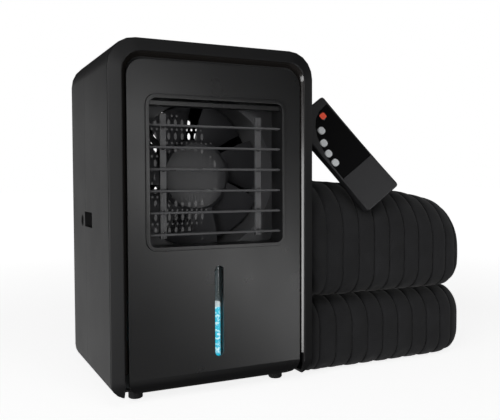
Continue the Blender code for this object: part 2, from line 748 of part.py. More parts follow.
def outlet_frame(parent):
    """Outlet frame: lip, sleeve and fixed top vane, with a pivot hole at each louvre's end."""
    lip_back = PANEL_SETBACK - FIT_GAP
    lip_front = lip_back - OUTLET_LIP_PROUD
    outer = OUTLET_HALF + OUTLET_LIP
    sleeve = OUTLET_HALF + OUTLET_SLEEVE
    corners = ((outer, lip_back, 0), (outer, lip_front, OUTLET_LIP_ROUND),
               (OUTLET_HALF, lip_front, OUTLET_LIP_ROUND), (OUTLET_HALF, OUTLET_DEPTH, 0),
               (sleeve, OUTLET_DEPTH, 0), (sleeve, lip_back, 0))
    rings = []
    for half, depth in rounded_path(corners, SMALL_STEPS - 1):
        outline = outlet_outline(half, OUTLET_RADIUS + half - OUTLET_HALF)
        rings.append([on_axis("Y", depth, u, v) for u, v in outline])
    obj = solid("outlet_frame", loft(bmesh.new(), rings, closed=True), "panel")
    vane_top = OUTLET_CENTRE_Z + OUTLET_HALF - CROSSBAR_DROP + CROSSBAR_THICKNESS / 2
    vane = box_outline(LOUVRE_AXIS_DEPTH - LOUVRE_CHORD / 2, LOUVRE_AXIS_DEPTH + LOUVRE_CHORD / 2,
                       vane_top - CROSSBAR_THICKNESS, vane_top, OUTLET_LIP_ROUND, OUTLET_LIP_ROUND, 1)
    fuse(obj, prism(vane, "X", -OUTLET_HALF - OUTLET_SLEEVE / 2, OUTLET_HALF + OUTLET_SLEEVE / 2))
    holes = bmesh.new()
    for height in louvre_heights():
        rod("X", (LOUVRE_AXIS_DEPTH, height), LOUVRE_PIN_RADIUS + FIT_GAP, -sleeve - CUT_OVERRUN,
            sleeve + CUT_OVERRUN, PIN_SIDES, holes)
    carve(obj, holes)
    return finish(obj, parent)


def louvre_shape():
    """Give one louvre about its pivot: a slim vane, two end pins and two crank knobs."""
    vane_end = OUTLET_HALF - RUN_GAP
    section = [(LOUVRE_CHORD * along, LOUVRE_THICKNESS * up) for along, up in LOUVRE_SECTION_SHARES]
    obj = solid("louvre", prism(section, "X", -vane_end, vane_end), "louvre")
    extras = bmesh.new()
    pin_end = OUTLET_HALF + OUTLET_SLEEVE - FIT_GAP
    for side in (-1, 1):
        pin_start = vane_end - CRANK_WIDTH
        rod("X", (0, 0), LOUVRE_PIN_RADIUS, side * pin_start, side * pin_end, PIN_SIDES, extras)
        first = math.pi - math.asin(CRANK_NECK / 2 / CRANK_KNOB_RADIUS)
        turns = [first - 2 * first * index / KNOB_STEPS for index in range(KNOB_STEPS + 1)]
        knob = [(CRANK_REACH + CRANK_KNOB_RADIUS * math.cos(turn), CRANK_KNOB_RADIUS * math.sin(turn))
                for turn in turns]
        root = LOUVRE_CHORD / 4
        outline = knob + [(root, -CRANK_NECK / 2), (root, CRANK_NECK / 2)]
        middle = side * LINK_OFFSET
        prism(outline, "X", middle - CRANK_WIDTH / 2, middle + CRANK_WIDTH / 2, extras)
    fuse(obj, extras)
    return obj


def louvres(parent):
    """Louvres: copies of one shape, each with its origin on its own pivot."""
    pattern = louvre_shape()
    for index, height in enumerate(louvre_heights()):
        obj = bpy.data.objects.new(f"louvre_{index + 1}", pattern.data)
        obj.location = (0, LOUVRE_AXIS_DEPTH, height)
        obj.parent = parent
        bpy.context.scene.collection.objects.link(obj)
    bpy.data.objects.remove(pattern, do_unlink=True)


def link_bar(name, side, parent):
    """Upright link bar: one slot for each louvre's crank knob."""
    heights = louvre_heights()
    depth = LOUVRE_AXIS_DEPTH + CRANK_REACH
    middle = side * LINK_OFFSET
    low = heights[0] - LINK_BOTTOM_REACH
    high = heights[-1] + LINK_TOP_REACH
    obj = solid(name, block((middle - LINK_WIDTH / 2, depth - LINK_DEPTH / 2, low),
                            (middle + LINK_WIDTH / 2, depth + LINK_DEPTH / 2, high)), "louvre")
    slots = bmesh.new()
    half_height = CRANK_KNOB_RADIUS + FIT_GAP
    half_width = CRANK_WIDTH / 2 + FIT_GAP
    for height in heights:
        block((middle - half_width, depth - LINK_DEPTH / 2 - CUT_OVERRUN, height - half_height),
              (middle + half_width, depth + LINK_DEPTH / 2 + CUT_OVERRUN, height + half_height), slots)
    carve(obj, slots)
    return finish(obj, parent, (middle, depth, heights[0]))


def air_duct(parent):
    """Short square duct from the panel's back to the fan shroud."""
    front = PANEL_SETBACK + PANEL_WALL + FIT_GAP
    back = SHROUD_DEPTH - FIT_GAP
    rings = []
    for half, depth in ((DUCT_HALF, front), (DUCT_HALF, back), (DUCT_HALF - DUCT_WALL, back),
                        (DUCT_HALF - DUCT_WALL, front)):
        outline = outlet_outline(half, DUCT_RADIUS + half - DUCT_HALF)
        rings.append([on_axis("Y", depth, u, v) for u, v in outline])
    obj = solid("air_duct", loft(bmesh.new(), rings, closed=True), "duct")
    return finish(obj, parent)


def fan_shroud(parent):
    """Fan shroud: square plate, round ring, four struts and the motor's seat."""
    plate_back = SHROUD_DEPTH + SHROUD_PLATE
    plate = prism(outlet_outline(DUCT_HALF, DUCT_RADIUS), "Y", SHROUD_DEPTH, plate_back)
    obj = solid("fan_shroud", plate, "duct")
    fuse(obj, rod("Y", (0, FAN_CENTRE_Z), FAN_BORE + FAN_RING_WALL, SHROUD_DEPTH + SHROUD_PLATE / 2,
                  FAN_RING_END, RING_SIDES))
    carve(obj, rod("Y", (0, FAN_CENTRE_Z), FAN_BORE, SHROUD_DEPTH - CUT_OVERRUN,
                   FAN_RING_END + CUT_OVERRUN, RING_SIDES))
    seat = FAN_RING_END - MOTOR_MOUNT
    for index in range(STRUT_COUNT // 2):
        turn = Matrix.Rotation(math.pi * (index + 0.5) / (STRUT_COUNT // 2), 4, "Y")
        reach = FAN_BORE + FAN_RING_WALL / 2
        strut = block((-reach, seat, -STRUT_WIDTH / 2), (reach, FAN_RING_END - FIT_GAP, STRUT_WIDTH / 2))
        strut.transform(Matrix.Translation((0, 0, FAN_CENTRE_Z)) @ turn)
        fuse(obj, strut)
    fuse(obj, rod("Y", (0, FAN_CENTRE_Z), MOTOR_MOUNT_RADIUS, seat - FIT_GAP, FAN_RING_END))
    return finish(obj, parent)


def blade(index):
    """Give the rings of one fan blade, from inside the hub to its tip."""
    pitch = math.tau / BLADE_COUNT
    start = BLADE_START + pitch * index
    rings = []
    for row in range(BLADE_ROWS + 1):
        share = row / BLADE_ROWS
        radius = (HUB_RADIUS - HUB_WALL / 2) * (1 - share) + BLADE_TIP * share
        lean = BLADE_SWEEP * share
        front = []
        back = []
        for step in range(BLADE_STEPS + 1):
            along = step / BLADE_STEPS
            angle = start - lean - pitch * (1 - BLADE_SPAN_SHARE) / 2 - pitch * BLADE_SPAN_SHARE * along
            camber = BLADE_THICKNESS * math.sin(math.pi * along)
            depth = BLADE_FRONT + (BLADE_BACK - BLADE_FRONT - BLADE_THICKNESS) * along - camber
            place = (radius * math.cos(angle), radius * math.sin(angle))
            front.append((place[0], depth, FAN_CENTRE_Z + place[1]))
            back.append((place[0], depth + BLADE_THICKNESS, FAN_CENTRE_Z + place[1]))
        rings.append(front + back[::-1])
    return rings


def fan_rotor(parent):
    """Fan rotor: domed hub cup with its spindle and seven wide raked blades."""
    length = HUB_BACK - HUB_FRONT
    inner = HUB_RADIUS - HUB_WALL
    floor = HUB_FRONT + HUB_WALL + HUB_DOME_SHARES[-1][0] * length / 2
    profile = [(HUB_FRONT + length * along, HUB_RADIUS * out) for along, out in HUB_DOME_SHARES]
    profile += [(HUB_BACK, HUB_RADIUS), (HUB_BACK, inner), (floor, inner), (floor, SPINDLE_RADIUS),
                (HUB_BACK, SPINDLE_RADIUS), (HUB_BACK, 0)]
    obj = solid("fan_rotor", turned(profile, "Y", (0, FAN_CENTRE_Z), ROUND_SIDES, False), "fan")
    blades = bmesh.new()
    for index in range(BLADE_COUNT):
        loft(blades, blade(index))
    fuse(obj, blades)
    return finish(obj, parent, (0, HUB_FRONT, FAN_CENTRE_Z))


def fan_motor(parent):
    """Fan motor: a can on the shroud's seat, inside the hub, bored for the spindle."""
    front = HUB_FRONT + (HUB_BACK - HUB_FRONT) / 2
    back = FAN_RING_END - MOTOR_MOUNT - 2 * FIT_GAP
    bore = SPINDLE_RADIUS + FIT_GAP
    profile = ((front, bore), (front, MOTOR_RADIUS), (back, MOTOR_RADIUS), (back, bore))
    obj = solid("fan_motor", turned(profile, "Y", (0, FAN_CENTRE_Z), ROUND_SIDES, True), "metal")
    return finish(obj, parent)


def intake_grille(parent):
    """Intake grille: a disc behind the cover's round opening, pierced by upright ovals."""
    radius = INTAKE_RADIUS + INTAKE_LAP
    back = UNIT_DEPTH - SHELL_WALL - FIT_GAP
    front = back - INTAKE_THICKNESS
    obj = solid("intake_grille", rod("Y", (0, FAN_CENTRE_Z), radius, front, back, RING_SIDES), "casing")
    holes = bmesh.new()
    columns = int(INTAKE_RADIUS / OVAL_PITCH_X)
    rows = int(INTAKE_RADIUS / OVAL_PITCH_Z)
    for column in range(-columns, columns + 1):
        for row in range(-rows, rows + 1):
            x = column * OVAL_PITCH_X
            z = row * OVAL_PITCH_Z
            if math.hypot(x, z) > INTAKE_RADIUS - OVAL_MARGIN - OVAL_HEIGHT / 2:
                continue
            sides = OVAL_SIDES
            oval = [(x + OVAL_WIDTH / 2 * math.cos(math.tau * (step + 0.5) / sides),
                     FAN_CENTRE_Z + z + OVAL_HEIGHT / 2 * math.sin(math.tau * (step + 0.5) / sides))
                    for step in range(sides)]
            prism(oval, "Y", front - CUT_OVERRUN, back + CUT_OVERRUN, holes)
    carve(obj, holes)
    return finish(obj, parent)


def tank_ring(inset, height):
    """Give the tank's rounded plan, drawn in by an inset, at a height."""
    radius = max(TANK_RADIUS - inset, TANK_WALL / 2)
    outline = box_outline(TANK_LEFT + inset, TANK_RIGHT - inset, TANK_FRONT + inset, TANK_BACK - inset,
                          radius, radius, SMALL_STEPS)
    return [on_axis("Z", height, u, v) for u, v in outline]


def tank_floor():
    """Give the height of the tank's underside, just over the seam's lap in the floor."""
    return FOOT_HEIGHT + SHELL_WALL + FIT_GAP + SEAM_TONGUE + FIT_GAP


def spigot_heights():
    """Give the heights of the sight tube's two spigots."""
    return (SLOT_BOTTOM_Z - TUBE_OVERLAP + SPIGOT_INSET, TANK_TOP_Z - SPIGOT_INSET)


def water_tank(parent):
    """Water tank: an open box with holes for the sight tube and two hose stubs."""
    floor = tank_floor()
    rings = [tank_ring(0, floor), tank_ring(0, TANK_TOP_Z), tank_ring(TANK_WALL, TANK_TOP_Z),
             tank_ring(TANK_WALL, floor + TANK_WALL)]
    obj = solid("water_tank", loft(bmesh.new(), rings), "tank")
    fuse(obj, rod("X", (SUCTION_Y, SUCTION_Z), STUB_RADIUS, TANK_RIGHT - TANK_WALL / 2,
                  TANK_RIGHT + STUB_LENGTH, PIN_SIDES))
    carve(obj, rod("X", (SUCTION_Y, SUCTION_Z), STUB_BORE, TANK_RIGHT - TANK_WALL - CUT_OVERRUN,
                   TANK_RIGHT + STUB_LENGTH + CUT_OVERRUN, PIN_SIDES))
    fuse(obj, rod("Y", (PORT_IN_X, RETURN_Z), STUB_RADIUS, TANK_BACK - TANK_WALL / 2,
                  TANK_BACK + STUB_LENGTH, PIN_SIDES))
    carve(obj, rod("Y", (PORT_IN_X, RETURN_Z), STUB_BORE, TANK_BACK - TANK_WALL - CUT_OVERRUN,
                   TANK_BACK + STUB_LENGTH + CUT_OVERRUN, PIN_SIDES))
    for height in spigot_heights():
        carve(obj, rod("Y", (0, height), SPIGOT_RADIUS + FIT_GAP, TANK_FRONT - CUT_OVERRUN,
                       TANK_FRONT + TANK_WALL + CUT_OVERRUN, PIN_SIDES))
    return finish(obj, parent)


def tank_lid(parent):
    """Tank lid: a plate with a locating lip inside the tank's wall and the fill pipe's hole."""
    under = TANK_TOP_Z + FIT_GAP
    lip_out = TANK_WALL + FIT_GAP
    lip_in = lip_out + TANK_WALL
    rings = [tank_ring(0, under + LID_THICKNESS), tank_ring(0, under), tank_ring(lip_out, under),
             tank_ring(lip_out, under - LID_LIP), tank_ring(lip_in, under - LID_LIP),
             tank_ring(lip_in, under)]
    obj = solid("tank_lid", loft(bmesh.new(), rings), "tank")
    carve(obj, rod("Z", (FILL_PIPE_END_X, FILL_Y), FILL_PIPE_RADIUS + FIT_GAP, under - CUT_OVERRUN,
                   under + LID_THICKNESS + CUT_OVERRUN))
    for height in spigot_heights()[1:]:
        carve(obj, rod("Y", (0, height), SPIGOT_RADIUS + FIT_GAP, TANK_FRONT - CUT_OVERRUN,
                       TANK_FRONT + TANK_WALL + TANK_WALL + CUT_OVERRUN, PIN_SIDES))
    return finish(obj, parent)


def sight_tube_depth():
    """Give the depth of the sight tube's axis, just behind the panel."""
    return PANEL_SETBACK + PANEL_WALL + FIT_GAP + TUBE_RADIUS


def sight_tube(parent):
    """Sight tube: clear and upright behind the slot, joined to the tank by two spigots."""
    depth = sight_tube_depth()
    low = SLOT_BOTTOM_Z - TUBE_OVERLAP
    high = SLOT_TOP_Z + TUBE_OVERLAP / 2
    obj = solid("sight_tube", rod("Z", (0, depth), TUBE_RADIUS, low, high), "clear")
    spigots = bmesh.new()
    bores = bmesh.new()
    for height in spigot_heights():
        rod("Y", (0, height), SPIGOT_RADIUS, depth, TANK_FRONT + TANK_WALL, PIN_SIDES, spigots)
        rod("Y", (0, height), SPIGOT_BORE, depth, TANK_FRONT + TANK_WALL + CUT_OVERRUN, PIN_SIDES, bores)
    fuse(obj, spigots)
    carve(obj, rod("Z", (0, depth), TUBE_RADIUS - TUBE_WALL, low + TUBE_WALL, high - TUBE_WALL))
    carve(obj, bores)
    return finish(obj, parent)


def float_height():
    """Give the height of the float's underside at rest."""
    return SLOT_BOTTOM_Z + (SLOT_TOP_Z - SLOT_BOTTOM_Z) * FLOAT_LEVEL_SHARE


def level_float(parent):
    """Level float: a short plug that rides in the sight tube's bore."""
    depth = sight_tube_depth()
    low = float_height()
    obj = solid("level_float", rod("Z", (0, depth), TUBE_RADIUS - TUBE_WALL - RUN_GAP, low,
                                   low + FLOAT_HEIGHT), "float")
    return finish(obj, parent, (0, depth, low))


def module_centre():
    """Give the plan centre of the thermoelectric module on the lid."""
    return (MODULE_CENTRE_X, TANK_BACK - MODULE_BACK_INSET - MODULE_SIDE / 2)


def cooling_module(parent):
    """Thermoelectric module: a flat ceramic sandwich on the lid."""
    x, y = module_centre()
    low = TANK_TOP_Z + 2 * FIT_GAP + LID_THICKNESS
    obj = solid("cooling_module", block((x - MODULE_SIDE / 2, y - MODULE_SIDE / 2, low),
                                        (x + MODULE_SIDE / 2, y + MODULE_SIDE / 2, low + MODULE_THICKNESS)),
                "cooler")
    return finish(obj, parent)


def heat_sink(parent):
    """Heat sink: a comb of upright fins on the hot side of the module."""
    x, y = module_centre()
    low = TANK_TOP_Z + 3 * FIT_GAP + LID_THICKNESS + MODULE_THICKNESS
    pitch = SINK_WIDTH / (FIN_COUNT - 1 + FIN_THICKNESS_SHARE)
    fin = pitch * FIN_THICKNESS_SHARE
    left = x - SINK_WIDTH / 2
    comb = [(left + SINK_WIDTH, low), (left, low)]
    for index in range(FIN_COUNT):
        near = left + pitch * index
        if index:
            comb.append((near, low + SINK_BASE))
        comb.append((near, low + SINK_HEIGHT))
        comb.append((near + fin, low + SINK_HEIGHT))
        if index < FIN_COUNT - 1:
            comb.append((near + fin, low + SINK_BASE))
    obj = solid("heat_sink", prism(comb, "Y", y - MODULE_SIDE / 2, y + MODULE_SIDE / 2), "metal")
    return finish(obj, parent)


def pump_body(parent):
    """Pump body: round volute open at the back, with its eye, outlet stub and foot."""
    back = PUMP_FRONT + VOLUTE_DEPTH
    eye_end = PUMP_FRONT - PUMP_STUB
    obj = solid("pump_body", rod("Y", (PUMP_X, PUMP_Z), VOLUTE_RADIUS, PUMP_FRONT, back), "duct")
    foot = PUMP_FOOT_WIDTH / 2
    fuse(obj, block((PUMP_X - foot, PUMP_FRONT + PUMP_FOOT_INSET, tank_floor()),
                    (PUMP_X + foot, back - PUMP_FOOT_INSET, PUMP_Z - VOLUTE_RADIUS / 2)))
    fuse(obj, rod("Z", (PUMP_X, PUMP_FRONT + VOLUTE_DEPTH / 2), STUB_RADIUS, PUMP_Z + VOLUTE_RADIUS / 2,
                  OUTLET_STUB_TOP_Z, PIN_SIDES))
    fuse(obj, rod("Y", (PUMP_X, PUMP_Z), STUB_RADIUS, eye_end, PUMP_FRONT + VOLUTE_WALL / 2, PIN_SIDES))
    carve(obj, rod("Y", (PUMP_X, PUMP_Z), VOLUTE_RADIUS - VOLUTE_WALL, PUMP_FRONT + VOLUTE_WALL,
                   back + CUT_OVERRUN))
    carve(obj, rod("Y", (PUMP_X, PUMP_Z), PUMP_EYE_BORE, eye_end - CUT_OVERRUN,
                   PUMP_FRONT + VOLUTE_WALL + CUT_OVERRUN, PIN_SIDES))
    carve(obj, rod("Z", (PUMP_X, PUMP_FRONT + VOLUTE_DEPTH / 2), STUB_BORE, PUMP_Z + VOLUTE_RADIUS / 2,
                   OUTLET_STUB_TOP_Z + CUT_OVERRUN, PIN_SIDES))
    return finish(obj, parent)


def pump_impeller(parent):
    """Pump impeller: a back plate with six straight vanes, on its own shaft."""
    plate_back = PUMP_FRONT + VOLUTE_DEPTH - RUN_GAP
    plate_front = plate_back - IMPELLER_PLATE
    centre = (PUMP_X, PUMP_Z)
    profile = ((plate_front, 0), (plate_front, IMPELLER_RADIUS), (plate_back, IMPELLER_RADIUS),
               (plate_back, PUMP_SHAFT_RADIUS), (plate_back + PUMP_SHAFT_LENGTH, PUMP_SHAFT_RADIUS),
               (plate_back + PUMP_SHAFT_LENGTH, 0))
    obj = solid("pump_impeller", turned(profile, "Y", centre, ROUND_SIDES, False), "fan")
    vanes = bmesh.new()
    for index in range(VANE_COUNT):
        tip = IMPELLER_RADIUS - VANE_THICKNESS
        vane = block((PUMP_EYE_BORE, plate_front - VANE_HEIGHT, -VANE_THICKNESS / 2),
                     (tip, plate_front + IMPELLER_PLATE / 2, VANE_THICKNESS / 2))
        turn = Matrix.Rotation(math.tau * index / VANE_COUNT, 4, "Y")
        vane.transform(Matrix.Translation((PUMP_X, 0, PUMP_Z)) @ turn)
        part = bpy.data.meshes.new("vane")
        vane.to_mesh(part)
        vane.free()
        vanes.from_mesh(part)
        bpy.data.meshes.remove(part)
    fuse(obj, vanes)
    return finish(obj, parent, (PUMP_X, plate_back, PUMP_Z))


def pump_motor(parent):
    """Pump motor: a can that closes the volute and is bored for the impeller's shaft."""
    front = PUMP_FRONT + VOLUTE_DEPTH + FIT_GAP
    bore = PUMP_SHAFT_RADIUS + FIT_GAP
    bore_end = front + PUMP_SHAFT_LENGTH + FIT_GAP
    flange = front + VOLUTE_WALL
    profile = ((bore_end, 0), (bore_end, bore), (front, bore), (front, VOLUTE_RADIUS),
               (flange, VOLUTE_RADIUS), (flange, PUMP_MOTOR_RADIUS),
               (front + PUMP_MOTOR_LENGTH, PUMP_MOTOR_RADIUS), (front + PUMP_MOTOR_LENGTH, 0))
    obj = solid("pump_motor", turned(profile, "Y", (PUMP_X, PUMP_Z), ROUND_SIDES, False), "metal")
    return finish(obj, parent)


def hoses(parent):
    """Inner hoses: tank to pump, pump to port, and port back to tank."""
    start = TANK_RIGHT + STUB_LENGTH + FIT_GAP
    eye = PUMP_FRONT - PUMP_STUB - FIT_GAP
    turn = (PUMP_X - start) / 2
    suction = ((start, SUCTION_Y, SUCTION_Z), (start + turn, SUCTION_Y, SUCTION_Z),
               (PUMP_X, eye - turn, PUMP_Z), (PUMP_X, eye, PUMP_Z))
    obj = solid("suction_hose", hose(suction, HOSE_RADIUS, HOSE_BORE), "hose")
    finish(obj, parent)
    outlet_y = PUMP_FRONT + VOLUTE_DEPTH / 2
    outlet_z = OUTLET_STUB_TOP_Z + FIT_GAP
    tail = UNIT_DEPTH - SHELL_WALL - FIT_GAP - PORT_FLANGE_DEPTH - PORT_TAIL - FIT_GAP
    rise = PORT_Z - outlet_z
    delivery = ((PUMP_X, outlet_y, outlet_z), (PUMP_X, outlet_y, outlet_z + rise / 2),
                (PORT_OUT_X, outlet_y + rise, PORT_Z), (PORT_OUT_X, tail - rise, PORT_Z),
                (PORT_OUT_X, tail, PORT_Z))
    obj = solid("delivery_hose", hose(delivery, HOSE_RADIUS, HOSE_BORE), "hose")
    finish(obj, parent)
    head = TANK_BACK + STUB_LENGTH + FIT_GAP
    run = (tail - head) / 3
    back = ((PORT_IN_X, tail, PORT_Z), (PORT_IN_X, tail - run, PORT_Z), (PORT_IN_X, head + run, RETURN_Z),
            (PORT_IN_X, head, RETURN_Z))
    obj = solid("return_hose", hose(back, HOSE_RADIUS, HOSE_BORE), "hose")
    finish(obj, parent)


def hose_port(name, x, parent):
    """Hose port: flange inside the cover, barrel and grooved nose outside, hose tail inside."""
    flange_back = UNIT_DEPTH - SHELL_WALL - FIT_GAP
    flange_front = flange_back - PORT_FLANGE_DEPTH
    nose = UNIT_DEPTH + PORT_REACH
    groove = UNIT_DEPTH + PORT_REACH / 2
    width = PORT_GROOVE
    profile = ((flange_front - PORT_TAIL, PORT_BORE), (flange_front - PORT_TAIL, PORT_TAIL_RADIUS),
               (flange_front, PORT_TAIL_RADIUS), (flange_front, PORT_FLANGE), (flange_back, PORT_FLANGE),
               (flange_back, PORT_BARREL), (groove - width, PORT_BARREL), (groove, PORT_BARREL - width),
               (groove + width, PORT_BARREL),
               (nose - width, PORT_BARREL), (nose, PORT_BARREL - width), (nose, PORT_BORE))
    obj = solid(name, turned(profile, "Y", (x, PORT_Z), ROUND_SIDES, True), "rubber")
    return finish(obj, parent)


def fill_neck(parent):
    """Fill neck: flange under the top wall, a straight bore for the stopper, then a funnel."""
    top = UNIT_HEIGHT - SHELL_WALL - FIT_GAP
    flange = CAP_RADIUS + NECK_WALL
    bore = STOPPER_RADIUS + FIT_GAP
    funnel = top - STOPPER_DEPTH - NECK_WALL
    end = funnel - (NECK_DEPTH - STOPPER_DEPTH)
    profile = ((top, bore), (top, flange), (top - NECK_FLANGE, flange),
               (top - NECK_FLANGE, bore + NECK_WALL), (funnel, bore + NECK_WALL),
               (end, FILL_PIPE_RADIUS), (end, FILL_PIPE_BORE), (funnel, bore))
    obj = solid("fill_neck", turned(profile, "Z", (FILL_X, FILL_Y), ROUND_SIDES, True), "tank")
    return finish(obj, parent)


def fill_pipe(parent):
    """Fill pipe: from the neck, down between the fan ring and the side wall, into the tank."""
    top = UNIT_HEIGHT - SHELL_WALL - FIT_GAP - NECK_DEPTH - NECK_WALL - FIT_GAP
    side_x = -UNIT_WIDTH / 2 + SHELL_WALL + FILL_SIDE_GAP + FILL_PIPE_RADIUS
    lid_top = TANK_TOP_Z + FIT_GAP + LID_THICKNESS
    drop = FILL_PIPE_RADIUS
    bend = FILL_X - side_x
    route = ((FILL_X, FILL_Y, top), (FILL_X, FILL_Y, top - drop), (side_x, FILL_Y, top - drop - bend),
             (side_x, FILL_Y, FAN_CENTRE_Z), (side_x, FILL_Y, FAN_CENTRE_Z - bend / 2),
             (FILL_PIPE_END_X, FILL_Y, lid_top + 2 * drop), (FILL_PIPE_END_X, FILL_Y, lid_top),
             (FILL_PIPE_END_X, FILL_Y, lid_top - 2 * drop))
    obj = solid("fill_pipe", hose(route, FILL_PIPE_RADIUS, FILL_PIPE_BORE), "hose")
    return finish(obj, parent)


def fill_cap(parent):
    """Fill cap: a dished disc flush with the top, its grip bar and its stopper."""
    top = UNIT_HEIGHT
    under = UNIT_HEIGHT - SHELL_WALL
    seat = under - STOPPER_DEPTH
    dish = CAP_RADIUS - CAP_RIM
    profile = ((top - CAP_DISH, 0), (top - CAP_DISH, dish - CAP_DISH), (top, dish), (top, CAP_RADIUS),
               (under, CAP_RADIUS), (under, STOPPER_RADIUS), (seat, STOPPER_RADIUS), (seat, 0))
    obj = solid("fill_cap", turned(profile, "Z", (FILL_X, FILL_Y), ROUND_SIDES, False), "casing")
    fuse(obj, block((FILL_X - dish, FILL_Y - CAP_GRIP_WIDTH / 2, top - CAP_THICKNESS / 2 - CAP_DISH / 2),
                    (FILL_X + dish, FILL_Y + CAP_GRIP_WIDTH / 2, top - CAP_DISH / 4)))
    return finish(obj, parent, (FILL_X, FILL_Y, under))


def control_board(parent):
    """Control board: on the duct's roof, with a relay, two capacitors, a plug and a receiver."""
    low = OUTLET_CENTRE_Z + DUCT_HALF + FIT_GAP
    front = PANEL_SETBACK + PANEL_WALL + SHELL_WALL
    back = front + BOARD_DEPTH
    top = low + BOARD_THICKNESS
    sink = BOARD_THICKNESS / 2
    half = BOARD_WIDTH / 2
    obj = solid("control_board", block((-half, front, low), (half, back, top)), "board")
    left = -half + RELAY_INSET
    near = front + RELAY_INSET / 2
    fuse(obj, block((left, near, top - sink), (left + RELAY_LENGTH, near + RELAY_WIDTH, top + RELAY_HEIGHT)))
    for side in (-1, 1):
        centre = (side * CAPACITOR_PITCH / 2, back - 2 * CAPACITOR_RADIUS)
        fuse(obj, rod("Z", centre, CAPACITOR_RADIUS, top - sink, top + CAPACITOR_HEIGHT, PIN_SIDES))
    right = half - RELAY_INSET
    far = back - BOARD_THICKNESS
    fuse(obj, block((right - SOCKET_LENGTH, far - SOCKET_WIDTH, top - sink),
                    (right, far, top + SOCKET_HEIGHT)))
    return finish(obj, parent)


def power_inlet(parent):
    """Power inlet: round nose in the side wall, bore with its pin, flange and body inside."""
    face = -UNIT_WIDTH / 2
    flange = face + SHELL_WALL + FIT_GAP
    body = flange + INLET_FLANGE_THICKNESS
    shell = face + INLET_BORE_DEPTH + INLET_FLANGE_THICKNESS
    profile = ((face + INLET_PIN_DEPTH, 0), (face + INLET_PIN_DEPTH, INLET_PIN),
               (face + INLET_BORE_DEPTH, INLET_PIN), (face + INLET_BORE_DEPTH, INLET_BORE),
               (face, INLET_BORE), (face, INLET_NOSE), (flange, INLET_NOSE), (flange, INLET_FLANGE),
               (body, INLET_FLANGE), (body, INLET_NOSE), (shell, INLET_NOSE), (shell, 0))
    obj = solid("power_inlet", turned(profile, "X", (INLET_Y, INLET_Z), ROUND_SIDES, False), "rubber")
    half = INLET_BODY / 2
    start = face + INLET_BORE_DEPTH + INLET_FLANGE_THICKNESS / 2
    fuse(obj, block((start, INLET_Y - half, INLET_Z - half),
                    (body + INLET_BODY_LENGTH, INLET_Y + half, INLET_Z + half)))
    return finish(obj, parent)


def feet(parent):
    """Feet: four rubber discs whose stems sit in the floor's holes."""
    places = {"front_left": (-FOOT_X, FOOT_FRONT_Y), "front_right": (FOOT_X, FOOT_FRONT_Y),
              "rear_left": (-FOOT_X, FOOT_BACK_Y), "rear_right": (FOOT_X, FOOT_BACK_Y)}
    top = FOOT_HEIGHT - FIT_GAP
    profile = ((0, 0), (0, FOOT_RADIUS - FOOT_ROUND), (FOOT_ROUND, FOOT_RADIUS), (top, FOOT_RADIUS),
               (top, FOOT_STEM_RADIUS), (FOOT_HEIGHT + SHELL_WALL - FIT_GAP, FOOT_STEM_RADIUS),
               (FOOT_HEIGHT + SHELL_WALL - FIT_GAP, 0))
    for place, centre in places.items():
        obj = solid(f"foot_{place}", turned(profile, "Z", centre, ROUND_SIDES * 2 // 3, False), "rubber")
        finish(obj, parent)


def end_round(distance, length):
    """Give the share of full size left near an end, by the distance from that end."""
    share = min(1.0, max(0.0, 1 - distance / length))
    return (1 - share ** PAD_SQUARENESS) ** (1 / PAD_SQUARENESS)


def pad_left():
    """Give where the pad's width starts, so that its first section lies against the unit."""
    return UNIT_WIDTH / 2 + FIT_GAP - PAD_WIDTH * PAD_END_SHARE


def pad_section(x, low, height, fall, shoulder, groove):
    """Give a bundle's closed section at a place across the set.

    The top falls away from the unit, both ends round off, and a seam's groove
    draws in the free sides. The underside stays level, as it lies on what is below.
    """
    from_left = x - pad_left()
    from_right = PAD_WIDTH - from_left
    size = end_round(from_right, PAD_END_ROUND) * end_round(from_left, PAD_INNER_END)
    draw = PAD_END_DRAW * (1 - end_round(from_right, PAD_END_SWEEP)) + groove
    high = low + height - fall * (from_left / PAD_WIDTH) ** 2
    middle = (low + high) / 2
    half = (high - low) / 2 * size
    top = middle + half - (groove if fall else 0)
    base = middle - half
    front = PAD_FRONT + draw
    back = PAD_FRONT + PAD_DEPTH - draw
    centre = (front + back) / 2
    fold = PAD_FOLD_RADIUS * size
    crest = min(shoulder, (top - base) - fold) * size
    corners = ((centre, base, 0), (back, base, fold), (back, (base + top) / 2, 0))
    outline = rounded_path(corners, PAD_FOLD_STEPS, closed=False)[:-1]
    corners = ((back, base + fold, 0), (back, top, crest), (centre, top, 0))
    outline += rounded_path(corners, PAD_SHOULDER_STEPS, closed=False)[1:]
    outline += [(2 * centre - y, z) for y, z in reversed(outline[1:-1])]
    return [(x, y, z) for y, z in outline]


def pad_places(offset_share):
    """Give the places of the sections across the pad, with their share of a seam's groove."""
    pitch = PAD_WIDTH / PAD_CHANNELS
    left = pad_left()
    first = PAD_WIDTH * PAD_END_SHARE
    last = PAD_WIDTH - first
    places = [(left + first, 1.0)]
    for channel in range(-1, PAD_CHANNELS + 1):
        for along, deep in PAD_GROOVE_SHARES:
            distance = pitch * (channel + along + offset_share)
            if 2 * first < distance < last - first:
                places.append((left + distance, deep))
    places.append((left + last, 1.0))
    return places


def pad_bundle(name, low, height, fall, shoulder, offset_share, parent):
    """Pad bundle: one closed channelled form with a level underside."""
    rings = [pad_section(x, low, height, fall, shoulder, PAD_GROOVE * deep)
             for x, deep in pad_places(offset_share)]
    obj = solid(name, loft(bmesh.new(), rings), "fabric")
    return finish(obj, parent)


def remote_width(y):
    """Give the remote's half width along its length, slightly waisted in the middle."""
    return REMOTE_END_WIDTH / 2 - REMOTE_WAIST * math.sin(math.pi * y / REMOTE_LENGTH)


